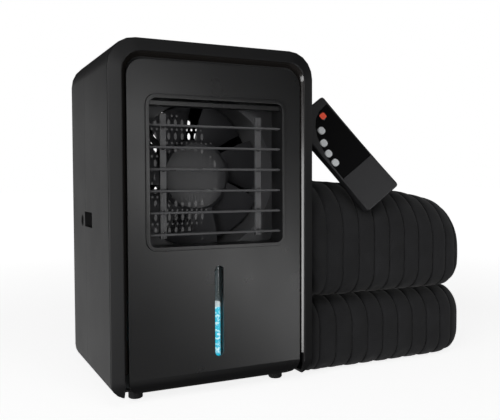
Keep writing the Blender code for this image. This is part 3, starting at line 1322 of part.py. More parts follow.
def remote_outline(inset):
    """Give the remote's outline, drawn in by an inset, with x across and y along."""
    radius = max(REMOTE_CORNER - inset, REMOTE_CORNER_LEAST)
    middle = REMOTE_END_WIDTH / 2
    low = inset
    high = REMOTE_LENGTH - inset
    right = [(middle + remote_width(low + (high - low) * step / REMOTE_SIDE_STEPS) - inset,
              low + (high - low) * step / REMOTE_SIDE_STEPS, 0 if 0 < step < REMOTE_SIDE_STEPS else radius)
             for step in range(REMOTE_SIDE_STEPS + 1)]
    left = [(2 * middle - x, y, r) for x, y, r in reversed(right)]
    return rounded_path(right + left, REMOTE_CORNER_STEPS)


def remote_rings(levels):
    """Give rings of the remote's outline at (inset, height) levels."""
    return [[(x, y, height) for x, y in remote_outline(inset)] for inset, height in levels]


def remote_edge(foot, sign):
    """Give the levels of the remote's rounded edge, by its inset and its height from a face."""
    return tuple((REMOTE_EDGE_ROUND * inset, foot + sign * REMOTE_EDGE_ROUND * up)
                 for inset, up in REMOTE_EDGE_SHARES)


def faceplate_outline(grow):
    """Give the faceplate's outline: square at its foot and right side, arched on its left."""
    right = FACEPLATE_RIGHT + grow
    low = FACEPLATE_LOW - grow
    width = right - FACEPLATE_LEFT + grow
    height = FACEPLATE_HIGH + grow - low
    across, along = FACEPLATE_ARCH_SHARES
    turns = [math.pi / 2 * step / FACEPLATE_STEPS for step in range(FACEPLATE_STEPS)]
    arch = [(right - width * math.cos(turn) ** across, low + height * math.sin(turn) ** along)
            for turn in turns]
    return [(right, low)] + arch + [(right, low + height)]


def button_places():
    """Give each button's name, finish, centre and half sizes."""
    places = [("power_button", "red", POWER_X, POWER_Y, POWER_SIDE / 2, POWER_SIDE / 2)]
    for index, (x, y) in enumerate(zip(MODE_PLACES_X, MODE_PLACES_Y)):
        places.append((f"mode_button_{index + 1}", "grey", x, y, MODE_WIDTH / 2, MODE_HEIGHT / 2))
    return places


def button_outline(x, y, half_width, half_height, grow, squareness):
    """Give a button's outline, between an oval and a square."""
    points = []
    for index in range(BUTTON_SIDES):
        angle = math.tau * (index + 0.5) / BUTTON_SIDES
        cos, sin = math.cos(angle), math.sin(angle)
        points.append((x + (half_width + grow) * math.copysign(abs(cos) ** (2 / squareness), cos),
                       y + (half_height + grow) * math.copysign(abs(sin) ** (2 / squareness), sin)))
    return points


def button_squareness(name):
    """The power button is a rounded square, the others are ovals."""
    return POWER_SQUARENESS if name == "power_button" else MODE_SQUARENESS


def remote_holes(low, high):
    """Give one prism for each button's hole."""
    holes = bmesh.new()
    for name, _, x, y, half_width, half_height in button_places():
        outline = button_outline(x, y, half_width, half_height, FIT_GAP, button_squareness(name))
        prism(outline, "Z", low, high, holes)
    return holes


def remote_back(parent):
    """Remote back: a shallow tray with the battery bay's opening in its floor."""
    floor = DOOR_THICKNESS + FIT_GAP + REMOTE_WALL
    levels = remote_edge(0, 1) + ((0, REMOTE_SPLIT), (REMOTE_WALL, REMOTE_SPLIT), (REMOTE_WALL, floor))
    obj = solid("remote_back", loft(bmesh.new(), remote_rings(levels)), "remote")
    middle = REMOTE_END_WIDTH / 2
    posts = bmesh.new()
    reach = middle - BOARD_MARGIN - POST_RADIUS
    for side in (-1, 1):
        for y in (BOARD_MARGIN + POST_RADIUS, REMOTE_LENGTH - BOARD_MARGIN - POST_RADIUS):
            rod("Z", (middle + side * reach, y), POST_RADIUS, floor - REMOTE_WALL / 2,
                REMOTE_SPLIT - FIT_GAP, PIN_SIDES, posts)
    fuse(obj, posts)
    half = DOOR_WIDTH / 2 + FIT_GAP
    carve(obj, block((middle - half, -CUT_OVERRUN, -CUT_OVERRUN),
                     (middle + half, DOOR_LENGTH + FIT_GAP, DOOR_THICKNESS + FIT_GAP)))
    carve(obj, rod("Z", (middle, CELL_Y), CELL_RADIUS + FIT_GAP, DOOR_THICKNESS, floor + CUT_OVERRUN))
    return finish(obj, parent)


def remote_front(parent):
    """Remote front: a lid with a bed for the faceplate and a hole for each button."""
    low = REMOTE_SPLIT + FIT_GAP
    top = REMOTE_THICKNESS
    roof = top - REMOTE_WALL - FACEPLATE_THICKNESS
    levels = ((REMOTE_WALL, roof), (REMOTE_WALL, low), (0, low)) + remote_edge(top, -1)[::-1]
    obj = solid("remote_front", loft(bmesh.new(), remote_rings(levels)), "remote")
    bed = top + FACEPLATE_PROUD - FACEPLATE_THICKNESS - FIT_GAP
    carve(obj, prism(faceplate_outline(FIT_GAP), "Z", bed, top + CUT_OVERRUN))
    carve(obj, remote_holes(roof - CUT_OVERRUN, top + CUT_OVERRUN))
    return finish(obj, parent)


def remote_faceplate(parent):
    """Remote faceplate: a thin glossy plate in the front's bed."""
    top = REMOTE_THICKNESS + FACEPLATE_PROUD
    plate = prism(faceplate_outline(0), "Z", top - FACEPLATE_THICKNESS, top)
    obj = solid("remote_faceplate", plate, "gloss")
    carve(obj, remote_holes(top - FACEPLATE_THICKNESS - CUT_OVERRUN, top + CUT_OVERRUN))
    return finish(obj, parent)


def remote_board_top():
    """Give the height of the remote board's upper face."""
    return REMOTE_SPLIT + REMOTE_BOARD_THICKNESS


def remote_buttons(parent):
    """Remote buttons: caps that stand proud of the faceplate, over the board by their travel."""
    top = REMOTE_THICKNESS + FACEPLATE_PROUD + BUTTON_PROUD
    low = remote_board_top() + BUTTON_TRAVEL + FIT_GAP
    for name, colour, x, y, half_width, half_height in button_places():
        square = button_squareness(name)
        rings = []
        for grow, height in ((0, low), (0, top - BUTTON_ROUND), (-BUTTON_ROUND, top)):
            outline = button_outline(x, y, half_width, half_height, grow, square)
            rings.append([(u, v, height) for u, v in outline])
        obj = solid(name, loft(bmesh.new(), rings), colour)
        finish(obj, parent, (x, y, top))


def remote_inside(parent):
    """Remote board and its coin cell."""
    middle = REMOTE_END_WIDTH / 2
    half = REMOTE_END_WIDTH / 2 - BOARD_MARGIN
    base = REMOTE_SPLIT
    far = REMOTE_LENGTH - BOARD_MARGIN
    obj = solid("remote_board", block((middle - half, BOARD_MARGIN, base),
                                      (middle + half, far, remote_board_top())), "board")
    finish(obj, parent)
    low = DOOR_THICKNESS + FIT_GAP
    obj = solid("remote_cell", rod("Z", (middle, CELL_Y), CELL_RADIUS, low, low + CELL_THICKNESS), "metal")
    finish(obj, parent)


def battery_door(parent):
    """Battery door: a thin slide under the back, run out at the remote's foot."""
    middle = REMOTE_END_WIDTH / 2
    half = DOOR_WIDTH / 2
    obj = solid("battery_door", block((middle - half, 0, 0),
                                      (middle + half, DOOR_LENGTH, DOOR_THICKNESS)), "remote")
    return finish(obj, parent, (middle, DOOR_LENGTH, 0))


def remote_pose():
    """Give the remote's rotation: faced to the front left, leaned back and rolled to the left."""
    stand = Matrix.Rotation(math.pi / 2, 4, "X")
    roll = Matrix.Rotation(REMOTE_ROLL, 4, "Z")
    lean = Matrix.Rotation(-REMOTE_LEAN, 4, "X")
    turn = Matrix.Rotation(-REMOTE_TURN, 4, "Z")
    return turn @ lean @ stand @ roll


def groove_share(x):
    """Give the share of a seam's groove at a place across the upper bundle."""
    along = (x - pad_left()) * PAD_CHANNELS / PAD_WIDTH % 1
    stations = PAD_GROOVE_SHARES + ((1.0, 1.0),)
    for (start, near), (end, far) in zip(stations, stations[1:]):
        if start <= along <= end:
            return near + (far - near) * (along - start) / (end - start)
    return 0.0


def pad_shoulder(x, z):
    """Give the depth of the upper bundle's front at a place and a height, if it reaches there."""
    section = pad_section(x, PAD_LOWER_HEIGHT + FIT_GAP, PAD_UPPER_HEIGHT, PAD_FALL, PAD_UPPER_SHOULDER,
                          PAD_GROOVE * groove_share(x))
    front = sorted((height, depth) for _, depth, height in section if depth < PAD_FRONT + PAD_DEPTH / 2)
    for (low_z, low_y), (high_z, high_y) in zip(front, front[1:]):
        if low_z <= z <= high_z and high_z > low_z:
            return low_y + (high_y - low_y) * (z - low_z) / (high_z - low_z)
    return None


def remote_frame(parent):
    """Stand the remote's frame so that it touches the unit's side and the pad's shoulder."""
    pose = remote_pose()
    corner = pose @ Vector((0, 0, 0))
    height = PAD_LOWER_HEIGHT + PAD_UPPER_HEIGHT - REMOTE_CORNER_DROP - corner.z
    skin = [pose @ Vector(point) for ring in remote_rings(remote_edge(0, 1)) for point in ring]
    face = [pose @ Vector((x, y, REMOTE_THICKNESS - REMOTE_EDGE_ROUND)) for x, y in remote_outline(0)]
    x = UNIT_WIDTH / 2 + FIT_GAP - min(point.x for point in skin + face)
    rests = [(pad_shoulder(x + point.x, height + point.z), point.y) for point in skin]
    y = min(shoulder - depth for shoulder, depth in rests if shoulder is not None) - FIT_GAP
    holder = empty("remote_frame", (x, y, height), parent)
    holder.rotation_euler = pose.to_euler()
    return holder


def centre_set(frame):
    """Move the set so that the bottom centre of its box is the origin."""
    bpy.context.view_layer.update()
    corners = [obj.matrix_world @ vertex.co for obj in bpy.data.objects if obj.type == "MESH"
               for vertex in obj.data.vertices]
    low = [min(corner[axis] for corner in corners) for axis in range(3)]
    high = [max(corner[axis] for corner in corners) for axis in range(3)]
    frame.location = (-(low[0] + high[0]) / 2, -(low[1] + high[1]) / 2, -low[2])
    bpy.context.view_layer.update()


def main():
    """Build every piece of the set."""
    clear_scene()
    frame = empty("set_frame", (0, 0, 0))
    front_housing(frame)
    rear_cover(frame)
    front_panel(frame)
    outlet_frame(frame)
    louvres(frame)
    link_bar("link_bar_left", -1, frame)
    link_bar("link_bar_right", 1, frame)
    air_duct(frame)
    fan_shroud(frame)
    fan_rotor(frame)
    fan_motor(frame)
    intake_grille(frame)
    water_tank(frame)
    tank_lid(frame)
    sight_tube(frame)
    level_float(frame)
    cooling_module(frame)
    heat_sink(frame)
    pump_body(frame)
    pump_impeller(frame)
    pump_motor(frame)
    hoses(frame)
    hose_port("hose_port_out", PORT_OUT_X, frame)
    hose_port("hose_port_in", PORT_IN_X, frame)
    fill_neck(frame)
    fill_pipe(frame)
    fill_cap(frame)
    control_board(frame)
    power_inlet(frame)
    feet(frame)
    pad_bundle("pad_lower", 0, PAD_LOWER_HEIGHT, 0, PAD_LOWER_SHOULDER, PAD_SEAM_SHARE, frame)
    pad_bundle("pad_upper", PAD_LOWER_HEIGHT + FIT_GAP, PAD_UPPER_HEIGHT, PAD_FALL, PAD_UPPER_SHOULDER, 0,
               frame)
    remote = remote_frame(frame)
    remote_back(remote)
    remote_front(remote)
    remote_faceplate(remote)
    remote_buttons(remote)
    remote_inside(remote)
    battery_door(remote)
    centre_set(frame)


main()
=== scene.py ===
"""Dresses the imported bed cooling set: tower unit, quilted pad and remote control.

Places are in the unit's own coordinates: X to its right, Y from the crest of its front
rim to its back, Z up from the surface it stands on, in metres.
"""
from __future__ import annotations

import json
import logging
import math
from dataclasses import dataclass
from enum import Enum

import bmesh
import bpy
from bmesh.types import BMesh
from bpy.types import Material, Mesh, Node, NodeSocket, NodeTree, Object
from mathutils import Matrix, Quaternion, Vector, noise

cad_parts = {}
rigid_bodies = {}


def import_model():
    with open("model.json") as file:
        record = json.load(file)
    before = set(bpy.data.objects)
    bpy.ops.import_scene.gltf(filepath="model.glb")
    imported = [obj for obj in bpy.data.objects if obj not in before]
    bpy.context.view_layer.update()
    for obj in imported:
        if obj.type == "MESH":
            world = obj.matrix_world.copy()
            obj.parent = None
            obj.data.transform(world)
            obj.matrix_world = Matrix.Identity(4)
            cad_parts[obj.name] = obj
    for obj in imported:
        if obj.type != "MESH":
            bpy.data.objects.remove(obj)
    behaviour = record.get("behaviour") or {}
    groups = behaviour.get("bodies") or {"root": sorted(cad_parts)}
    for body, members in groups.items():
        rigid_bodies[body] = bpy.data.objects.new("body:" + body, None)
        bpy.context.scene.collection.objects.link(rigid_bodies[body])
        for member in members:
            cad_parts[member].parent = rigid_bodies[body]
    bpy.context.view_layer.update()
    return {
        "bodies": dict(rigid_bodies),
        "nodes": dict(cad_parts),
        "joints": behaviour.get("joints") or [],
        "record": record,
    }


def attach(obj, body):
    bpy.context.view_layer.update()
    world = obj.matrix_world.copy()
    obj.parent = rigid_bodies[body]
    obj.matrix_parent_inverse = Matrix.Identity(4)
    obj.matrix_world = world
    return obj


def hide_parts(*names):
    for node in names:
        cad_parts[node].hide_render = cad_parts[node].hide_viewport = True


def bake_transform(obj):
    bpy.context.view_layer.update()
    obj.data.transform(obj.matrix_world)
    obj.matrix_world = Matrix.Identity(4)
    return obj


LOG = logging.getLogger("bed_cooler")
MM = 0.001
HAIR = 0.001 * MM
WELD = 0.002 * MM
FLAT_DEGREES = 0.4
FEET_MOUNT_AT = Vector((-0.074, 0.031, 0.0))


class Grain(Enum):
    """How a moulded surface was made in the tool. The value says how strongly its pits stand out."""

    ERODED = 0.35
    SATIN = 0.15
    POLISHED = 0.0


def linear(colour: str) -> tuple[float, float, float, float]:
    """Turn an sRGB hex colour into linear values.

    Args:
        colour: six hex digits.

    Returns:
        Red, green, blue and an alpha of one.
    """
    parts = [int(colour[at:at + 2], 16) / 255 for at in (0, 2, 4)]
    curve = [part / 12.92 if part <= 0.04045 else ((part + 0.055) / 1.055) ** 2.4 for part in parts]
    return (curve[0], curve[1], curve[2], 1.0)


def per_metre(size_mm: float) -> float:
    """Give a texture scale for features of a real size in millimetres."""
    return 1.0 / (size_mm * MM)


def add(tree: NodeTree, kind: str, settings: dict, links: dict) -> Node:
    """Add a shader node with its settings and links.

    Args:
        tree: the material's node tree.
        kind: the node's type name.
        settings: attribute names, or input names or numbers, with their values.
        links: input names or numbers with the output sockets that feed them.

    Returns:
        The new node.
    """
    made = tree.nodes.new(kind)
    for name, value in settings.items():
        if isinstance(name, int) or name in made.inputs:
            made.inputs[name].default_value = value
        else:
            setattr(made, name, value)
    for name, socket in links.items():
        tree.links.new(socket, made.inputs[name])
    return made


@dataclass(frozen=True)
class Finish:
    """A surface finish with a Principled shader.

    Attributes:
        name: what the real material is and how it was made.
        colour: sRGB hex of the base.
        roughness: the base roughness.
    """

    name: str
    colour: str
    roughness: float

    def start(self, more: dict) -> tuple[Material, NodeTree, Node, NodeSocket]:
        """Make the material with its shader.

        Args:
            more: further inputs of the shader with their values.

        Returns:
            The material, its tree, its shader and the object coordinates.
        """
        made = bpy.data.materials.new(self.name)
        made.use_nodes = True
        tree = made.node_tree
        shader = tree.nodes["Principled BSDF"]
        own = {"Base Color": linear(self.colour), "Roughness": self.roughness}
        for name, value in {**own, **more}.items():
            shader.inputs[name].default_value = value
        place = add(tree, "ShaderNodeTexCoord", {}, {})
        return made, tree, shader, place.outputs["Object"]


@dataclass(frozen=True)
class MouldedPlastic(Finish):
    """Injection-moulded plastic: the tool's grain and a little drift in gloss."""

    grain: Grain = Grain.ERODED
    ior: float = 1.53
    grain_mm: float = 0.8
    depth_mm: float = 0.03
    mottle: tuple[float, float] = (0.9, 1.12)
    cloud_mm: float = 45.0
    drift: float = 0.05
    least_roughness: float = 0.02

    def material(self) -> Material:
        """Make the material.

        Returns:
            The new material.
        """
        made, tree, shader, place = self.start({"IOR": self.ior})
        cloud = add(tree, "ShaderNodeTexNoise", {"Scale": per_metre(self.cloud_mm), "Detail": 3.0},
                    {"Vector": place})
        low = max(self.least_roughness, self.roughness - self.drift)
        gloss = add(tree, "ShaderNodeMapRange", {"To Min": low, "To Max": self.roughness + self.drift},
                    {"Value": cloud.outputs["Fac"]})
        tree.links.new(gloss.outputs["Result"], shader.inputs["Roughness"])
        if self.grain is not Grain.POLISHED:
            # the real grain is about 0.1 mm; it is drawn coarser so that it shows at all
            pits = add(tree, "ShaderNodeTexNoise", {"Scale": per_metre(self.grain_mm), "Detail": 2.0},
                       {"Vector": place})
            bump = add(tree, "ShaderNodeBump", {"Strength": self.grain.value, "Distance": self.depth_mm * MM},
                       {"Height": pits.outputs["Fac"]})
            tree.links.new(bump.outputs["Normal"], shader.inputs["Normal"])
            dark, light = self.mottle
            tint = add(tree, "ShaderNodeMapRange", {"To Min": dark, "To Max": light},
                       {"Value": pits.outputs["Fac"]})
            base = add(tree, "ShaderNodeMix", {"data_type": "RGBA", "blend_type": "MULTIPLY", 0: 1.0,
                                               6: linear(self.colour)}, {7: tint.outputs["Result"]})
            tree.links.new(base.outputs[2], shader.inputs["Base Color"])
        return made


@dataclass(frozen=True)
class SmokedPlastic(MouldedPlastic):
    """Moulded smoky plastic: thin enough for bright openings behind it to glimmer through."""

    cover: float = 0.77

    def material(self) -> Material:
        """Make the material.

        Returns:
            The new material.
        """
        made = super().material()
        made.node_tree.nodes["Principled BSDF"].inputs["Alpha"].default_value = self.cover
        return made


@dataclass(frozen=True)
class GlowPaintedPlastic(MouldedPlastic):
    """Moulded translucent plastic with a painted glow: it emits its own colour, so that it stands out bright
    against what is dark.
    """

    glow: float = 0.6

    def material(self) -> Material:
        """Make the material.

        Returns:
            The new material.
        """
        made = super().material()
        shader = made.node_tree.nodes["Principled BSDF"]
        # painted glow: emission in the plastic's own colour, with no lamp inside it
        shader.inputs["Emission Color"].default_value = linear(self.colour)
        shader.inputs["Emission Strength"].default_value = self.glow
        return made


@dataclass(frozen=True)
class ClearPlastic(Finish):
    """Moulded clear plastic: it passes light, with a faint waviness in its gloss."""

    ior: float = 1.49
    clearness: float = 0.9
    flow_mm: float = 12.0
    drift: float = 0.06

    def material(self) -> Material:
        """Make the material.

        Returns:
            The new material.
        """
        made, tree, shader, place = self.start({"IOR": self.ior, "Transmission Weight": self.clearness})
        flow = add(tree, "ShaderNodeTexNoise", {"Scale": per_metre(self.flow_mm), "Detail": 1.0},
                   {"Vector": place})
        most = self.roughness + self.drift
        gloss = add(tree, "ShaderNodeMapRange", {"To Min": self.roughness, "To Max": most},
                    {"Value": flow.outputs["Fac"]})
        tree.links.new(gloss.outputs["Result"], shader.inputs["Roughness"])
        return made


@dataclass(frozen=True)
class AeratedWater(Finish):
    """Chilled water full of fine bubbles: cyan, broken by pale froth, both given a painted glow."""

    froth: str = "e9fbff"
    froth_mm: float = 2.4
    froth_from: tuple[float, float] = (0.48, 0.66)
    glow: float = 0.95
    ior: float = 1.33

    def material(self) -> Material:
        """Make the material.

        Returns:
            The new material.
        """
        # painted glow: the water emits light though no lamp is inside it
        made, tree, shader, place = self.start({"IOR": self.ior, "Emission Strength": self.glow})
        cells = add(tree, "ShaderNodeTexNoise", {"Scale": per_metre(self.froth_mm), "Detail": 3.0},
                    {"Vector": place})
        start, full = self.froth_from
        share = add(tree, "ShaderNodeMapRange", {"From Min": start, "From Max": full},
                    {"Value": cells.outputs["Fac"]})
        tones = {6: linear(self.colour), 7: linear(self.froth)}
        tone = add(tree, "ShaderNodeMix", {"data_type": "RGBA", **tones}, {0: share.outputs["Result"]})
        tree.links.new(tone.outputs[2], shader.inputs["Base Color"])
        # the painted glow takes the colours of the water and the froth
        tree.links.new(tone.outputs[2], shader.inputs["Emission Color"])
        return made


@dataclass(frozen=True)
class Metal(Finish):
    """Bare metal, drawn or die cast: a fine directional grain."""

    grain_mm: float = 0.6
    grain_run: tuple[float, float, float] = (1.0, 0.08, 1.0)
    gloss_drift: tuple[float, float] = (0.08, 0.1)

    def material(self) -> Material:
        """Make the material.

        Returns:
            The new material.
        """
        made, tree, shader, place = self.start({"Metallic": 1.0})
        stretch = add(tree, "ShaderNodeMapping", {"Scale": self.grain_run}, {"Vector": place})
        lines = add(tree, "ShaderNodeTexNoise", {"Scale": per_metre(self.grain_mm), "Detail": 2.0},
                    {"Vector": stretch.outputs["Vector"]})
        below, above = self.gloss_drift
        gloss = add(tree, "ShaderNodeMapRange",
                    {"To Min": self.roughness - below, "To Max": self.roughness + above},
                    {"Value": lines.outputs["Fac"]})
        tree.links.new(gloss.outputs["Result"], shader.inputs["Roughness"])
        return made


@dataclass(frozen=True)
class Rubber(Finish):
    """Moulded rubber: dull, with a soft mottled bloom."""

    bloom: str = "3a3a3a"
    bloom_mm: float = 4.0
    bloom_share: float = 0.25
    ior: float = 1.52

    def material(self) -> Material:
        """Make the material.

        Returns:
            The new material.
        """
        made, tree, shader, place = self.start({"IOR": self.ior})
        mottle = add(tree, "ShaderNodeTexNoise", {"Scale": per_metre(self.bloom_mm), "Detail": 4.0},
                     {"Vector": place})
        share = add(tree, "ShaderNodeMapRange", {"To Min": 0.0, "To Max": self.bloom_share},
                    {"Value": mottle.outputs["Fac"]})
        tones = {6: linear(self.colour), 7: linear(self.bloom)}
        tone = add(tree, "ShaderNodeMix", {"data_type": "RGBA", **tones}, {0: share.outputs["Result"]})
        tree.links.new(tone.outputs[2], shader.inputs["Base Color"])
        return made


@dataclass(frozen=True)
class BrushedKnit(Finish):
    """Brushed polyester knit over soft wadding: matt, with a low nap that lights up at grazing angles."""

    thread_mm: float = 1.1
    nap_mm: float = 2.2
    depth_mm: float = 0.10
    bump: float = 0.5
    shade: str = "2a2a2b"
    shade_mm: float = 26.0
    sheen: float = 0.2
    sheen_roughness: float = 0.45
    specular: float = 0.25
    # painted shade where surfaces come close: how far it looks, the AO span it maps, and how dark it gets
    painted_shade_reach_mm: float = 16.0
    painted_shade_from: tuple[float, float] = (0.4, 0.95)
    darkest_painted_shade: float = 0.25

    def material(self) -> Material:
        """Make the material.

        Returns:
            The new material.
        """
        nap_light = {"Sheen Weight": self.sheen, "Sheen Roughness": self.sheen_roughness}
        made, tree, shader, place = self.start({**nap_light, "Specular IOR Level": self.specular})
        # threads are about 0.3 mm apart; they are drawn at about 1 mm so that the knit shows
        run = {"Scale": per_metre(self.thread_mm) / math.tau, "Distortion": 1.2, "Detail": 1.0}
        rows, stems = (add(tree, "ShaderNodeTexWave", {**run, "bands_direction": axis}, {"Vector": place})
                       for axis in "ZX")
        weave = add(tree, "ShaderNodeMath", {"operation": "ADD"},
                    {0: rows.outputs["Fac"], 1: stems.outputs["Fac"]})
        nap = add(tree, "ShaderNodeTexNoise", {"Scale": per_metre(self.nap_mm), "Detail": 4.0},
                  {"Vector": place})
        height = add(tree, "ShaderNodeMath", {"operation": "ADD"},
                     {0: weave.outputs["Value"], 1: nap.outputs["Fac"]})
        relief = add(tree, "ShaderNodeBump", {"Strength": self.bump, "Distance": self.depth_mm * MM},
                     {"Height": height.outputs["Value"]})
        tree.links.new(relief.outputs["Normal"], shader.inputs["Normal"])
        cloud = add(tree, "ShaderNodeTexNoise", {"Scale": per_metre(self.shade_mm), "Detail": 3.0},
                    {"Vector": place})
        tones = {6: linear(self.shade), 7: linear(self.colour)}
        tone = add(tree, "ShaderNodeMix", {"data_type": "RGBA", **tones}, {0: cloud.outputs["Fac"]})
        # painted shade: the knit's colour is darkened where an AO node finds other surfaces close by, in its
        # seams, creases and the gap between the bundles
        near = add(tree, "ShaderNodeAmbientOcclusion", {"samples": 12, "Distance": self.painted_shade_reach_mm * MM}, {})
        tight, open_cloth = self.painted_shade_from
        painted_shade = add(tree, "ShaderNodeMapRange",
                     {"From Min": tight, "From Max": open_cloth, "To Min": self.darkest_painted_shade, "To Max": 1.0},
                     {"Value": near.outputs["AO"]})
        base = add(tree, "ShaderNodeMix", {"data_type": "RGBA", "blend_type": "MULTIPLY", 0: 1.0},
                   {6: tone.outputs[2], 7: painted_shade.outputs["Result"]})
        tree.links.new(base.outputs[2], shader.inputs["Base Color"])
        return made


@dataclass(frozen=True)
class CircuitBoard(Finish):
    """Glass-epoxy board under solder mask: green, with copper tracks just showing."""

    track: str = "2f6a3c"
    track_mm: float = 10.0
    ior: float = 1.5

    def material(self) -> Material:
        """Make the material.

        Returns:
            The new material.
        """
        made, tree, shader, place = self.start({"IOR": self.ior})
        cells = add(tree, "ShaderNodeTexBrick",
                    {"Scale": per_metre(self.track_mm), "Color1": linear(self.colour),
                     "Color2": linear(self.colour), "Mortar": linear(self.track)}, {"Vector": place})
        tree.links.new(cells.outputs["Color"], shader.inputs["Base Color"])
        return made


class Finishes:
    """Every finish of the set, each made once."""

    def __init__(self) -> None:
        """Make the finishes."""
        # spark-eroded ABS: matt, with a broad soft highlight
        self.casing = MouldedPlastic("abs_eroded_black", "1c1c1d", 0.5).material()
        # finer tool grain on the loose front panel: a tighter highlight
        self.panel = MouldedPlastic("abs_satin_black", "202021", 0.29, Grain.SATIN).material()
        # UV-lacquered slope of the reveal: it mirrors the room as a bright streak beside the matt rim
        self.reveal = MouldedPlastic("lacquered_abs_black", "2a2725", 0.17, Grain.POLISHED, 1.8).material()
        # fine satin tool on the louvres; their black is drawn light grey as a painted highlight, so that
        # their fronts show as bright lines
        self.louvre = MouldedPlastic("abs_louvre_painted_highlight_grey", "88888a", 0.28, Grain.SATIN).material()
        # slippery acetal: a low waxy gloss, a shade under the louvres'
        self.link = MouldedPlastic("acetal_link_charcoal", "707072", 0.35, Grain.SATIN, 1.48).material()
        # grained polypropylene: soft and flat, so that the duct stays behind the louvres
        self.duct = MouldedPlastic("polypropylene_duct_grey", "707072", 0.5, ior=1.49).material()
        # thin smoky polycarbonate: the bright holes of the intake glimmer through blades and hub
        self.fan = SmokedPlastic("smoked_polycarbonate_fan", "565659", 0.35, Grain.SATIN).material()
        # grained ABS: matt black round the bright holes
        self.intake = MouldedPlastic("abs_intake_black", "1d1d1e", 0.5).material()
        # uncoloured polypropylene: milky, with a dull gloss
        self.tank = MouldedPlastic("polypropylene_tank_natural", "b9bfc0", 0.45, ior=1.49).material()
        # uncoloured silicone: cloudy, it lets a little light through
        self.hose = ClearPlastic("silicone_hose_natural", "c9cdcc", 0.35, clearness=0.3).material()
        # extruded acrylic: glass clear, one thin highlight down its length
        self.tube = ClearPlastic("acrylic_sight_tube", "dfe9ec", 0.03, clearness=0.97).material()
        # white polyethylene in the water, made the brightest spot in the slot by a painted glow
        self.float = GlowPaintedPlastic("polyethylene_float_white", "eceeee", 0.4, Grain.SATIN).material()
        # chilled water with air in it, with a painted glow: cyan with white flecks
        self.water = AeratedWater("aerated_chilled_water", "1fc4de", 0.25).material()
        # drawn aluminium: a soft streaked mirror
        self.metal = Metal("drawn_aluminium", "b8babd", 0.36).material()
        # fired alumina: chalky white
        self.ceramic = MouldedPlastic("alumina_ceramic_white", "d9d7d0", 0.6, ior=1.76).material()
        # solder mask over copper: even green with paler tracks
        self.board = CircuitBoard("solder_masked_board", "154a27", 0.4).material()
        # moulded rubber: nearly black, without a highlight
        self.rubber = Rubber("moulded_rubber_black", "141414", 0.8).material()
        # brushed polyester: it swallows light, and painted shade makes its seams and creases go black
        self.fabric = BrushedKnit("brushed_polyester_knit", "3c3c3e", 0.92).material()
        # bonded polyester thread: darker and smoother than the knit
        self.thread = MouldedPlastic("polyester_thread_black", "1a1a1c", 0.6, ior=1.5).material()
        # grained ABS: charcoal, so that the gloss face stands out from it
        self.remote = MouldedPlastic("abs_remote_charcoal", "363638", 0.42).material()
        # polished polycarbonate: black, with sharp mirrored edges
        self.gloss = MouldedPlastic("polycarbonate_gloss_black", "111112", 0.12, Grain.POLISHED).material()
        # translucent silicone: a painted glow makes the keys brighter than the gloss face
        self.red = GlowPaintedPlastic("silicone_key_red", "f4583c", 0.45, Grain.SATIN, glow=0.28).material()
        self.grey = GlowPaintedPlastic("silicone_key_grey", "e6e9ea", 0.5, Grain.SATIN, glow=0.14).material()


def placed(name: str, bm: BMesh) -> Object:
    """Put a mesh into the scene as an object.

    Args:
        name: the name of the object and of its mesh.
        bm: the mesh; it is freed.

    Returns:
        The new object.
    """
    mesh = bpy.data.meshes.new(name)
    bm.to_mesh(mesh)
    bm.free()
    made = bpy.data.objects.new(name, mesh)
    bpy.context.scene.collection.objects.link(made)
    return made


class Workshop:
    """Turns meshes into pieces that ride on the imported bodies."""

    def __init__(self, frame: dict) -> None:
        """Keep the frame and find the unit's origin in it.

        Args:
            frame: what the frame loader gave.
        """
        self.frame = frame
        feet = next(m for m in frame["record"]["mounts"] if m["name"] == "feet")
        self.origin = Vector(feet["pos_m"]) - FEET_MOUNT_AT
        self.body_of = {node: body for body, nodes in frame["record"]["behaviour"]["bodies"].items()
                        for node in nodes}

    def piece(self, name: str, bm: BMesh, material: Material, body: str | None,
              angle: float = 32.0) -> Object:
        """Make an object in unit coordinates and let it ride on a body.

        Args:
            name: the piece's name.
            bm: its mesh, in unit coordinates; it is freed.
            material: its finish.
            body: the body that it rides on, or none, when it is left on no body.
            angle: edges sharper than this many degrees stay sharp.

        Returns:
            The new object.
        """
        bm.transform(Matrix.Translation(self.origin))
        bmesh.ops.recalc_face_normals(bm, faces=bm.faces)
        made = placed(name, bm)
        made.data.materials.append(material)
        made.data.shade_smooth()
        made.data.set_sharp_from_angle(angle=math.radians(angle))
        if body:
            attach(made, body)
        LOG.info("made %s on %s", name, body)
        return made

    def skin(self, node: str, material: Material, slot: str, edge: float = 0.25 * MM,
             turn: float = 30.0, facets: int = 2) -> Object:
        """Give a CAD node a clean smooth-shaded surface of the same shape, its edges broken as moulding does.

        Args:
            node: the CAD node.
            material: its finish.
            slot: the record's material slot; not used.
            edge: how far its sharp edges are broken.
            turn: the edges that turn by more than this many degrees are broken.
            facets: how many faces a broken edge gets.

        Returns:
            The piece that stands for the node.
        """
        bm = bmesh.new()
        bm.from_mesh(self.frame["nodes"][node].data)
        bmesh.ops.remove_doubles(bm, verts=bm.verts, dist=WELD)
        bmesh.ops.dissolve_limit(bm, angle_limit=math.radians(FLAT_DEGREES), verts=bm.verts, edges=bm.edges)
        bm.transform(Matrix.Translation(-self.origin))
        made = self.piece(node + "_skin", bm, material, self.body_of[node])
        broken = made.modifiers.new("broken_edges", "BEVEL")
        broken.width = edge
        broken.segments = facets
        broken.limit_method = "ANGLE"
        broken.angle_limit = math.radians(turn)
        broken.use_clamp_overlap = True
        even = made.modifiers.new("even_faces", "WEIGHTED_NORMAL")
        even.keep_sharp = True
        even.weight = 80
        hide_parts(node)
        return made


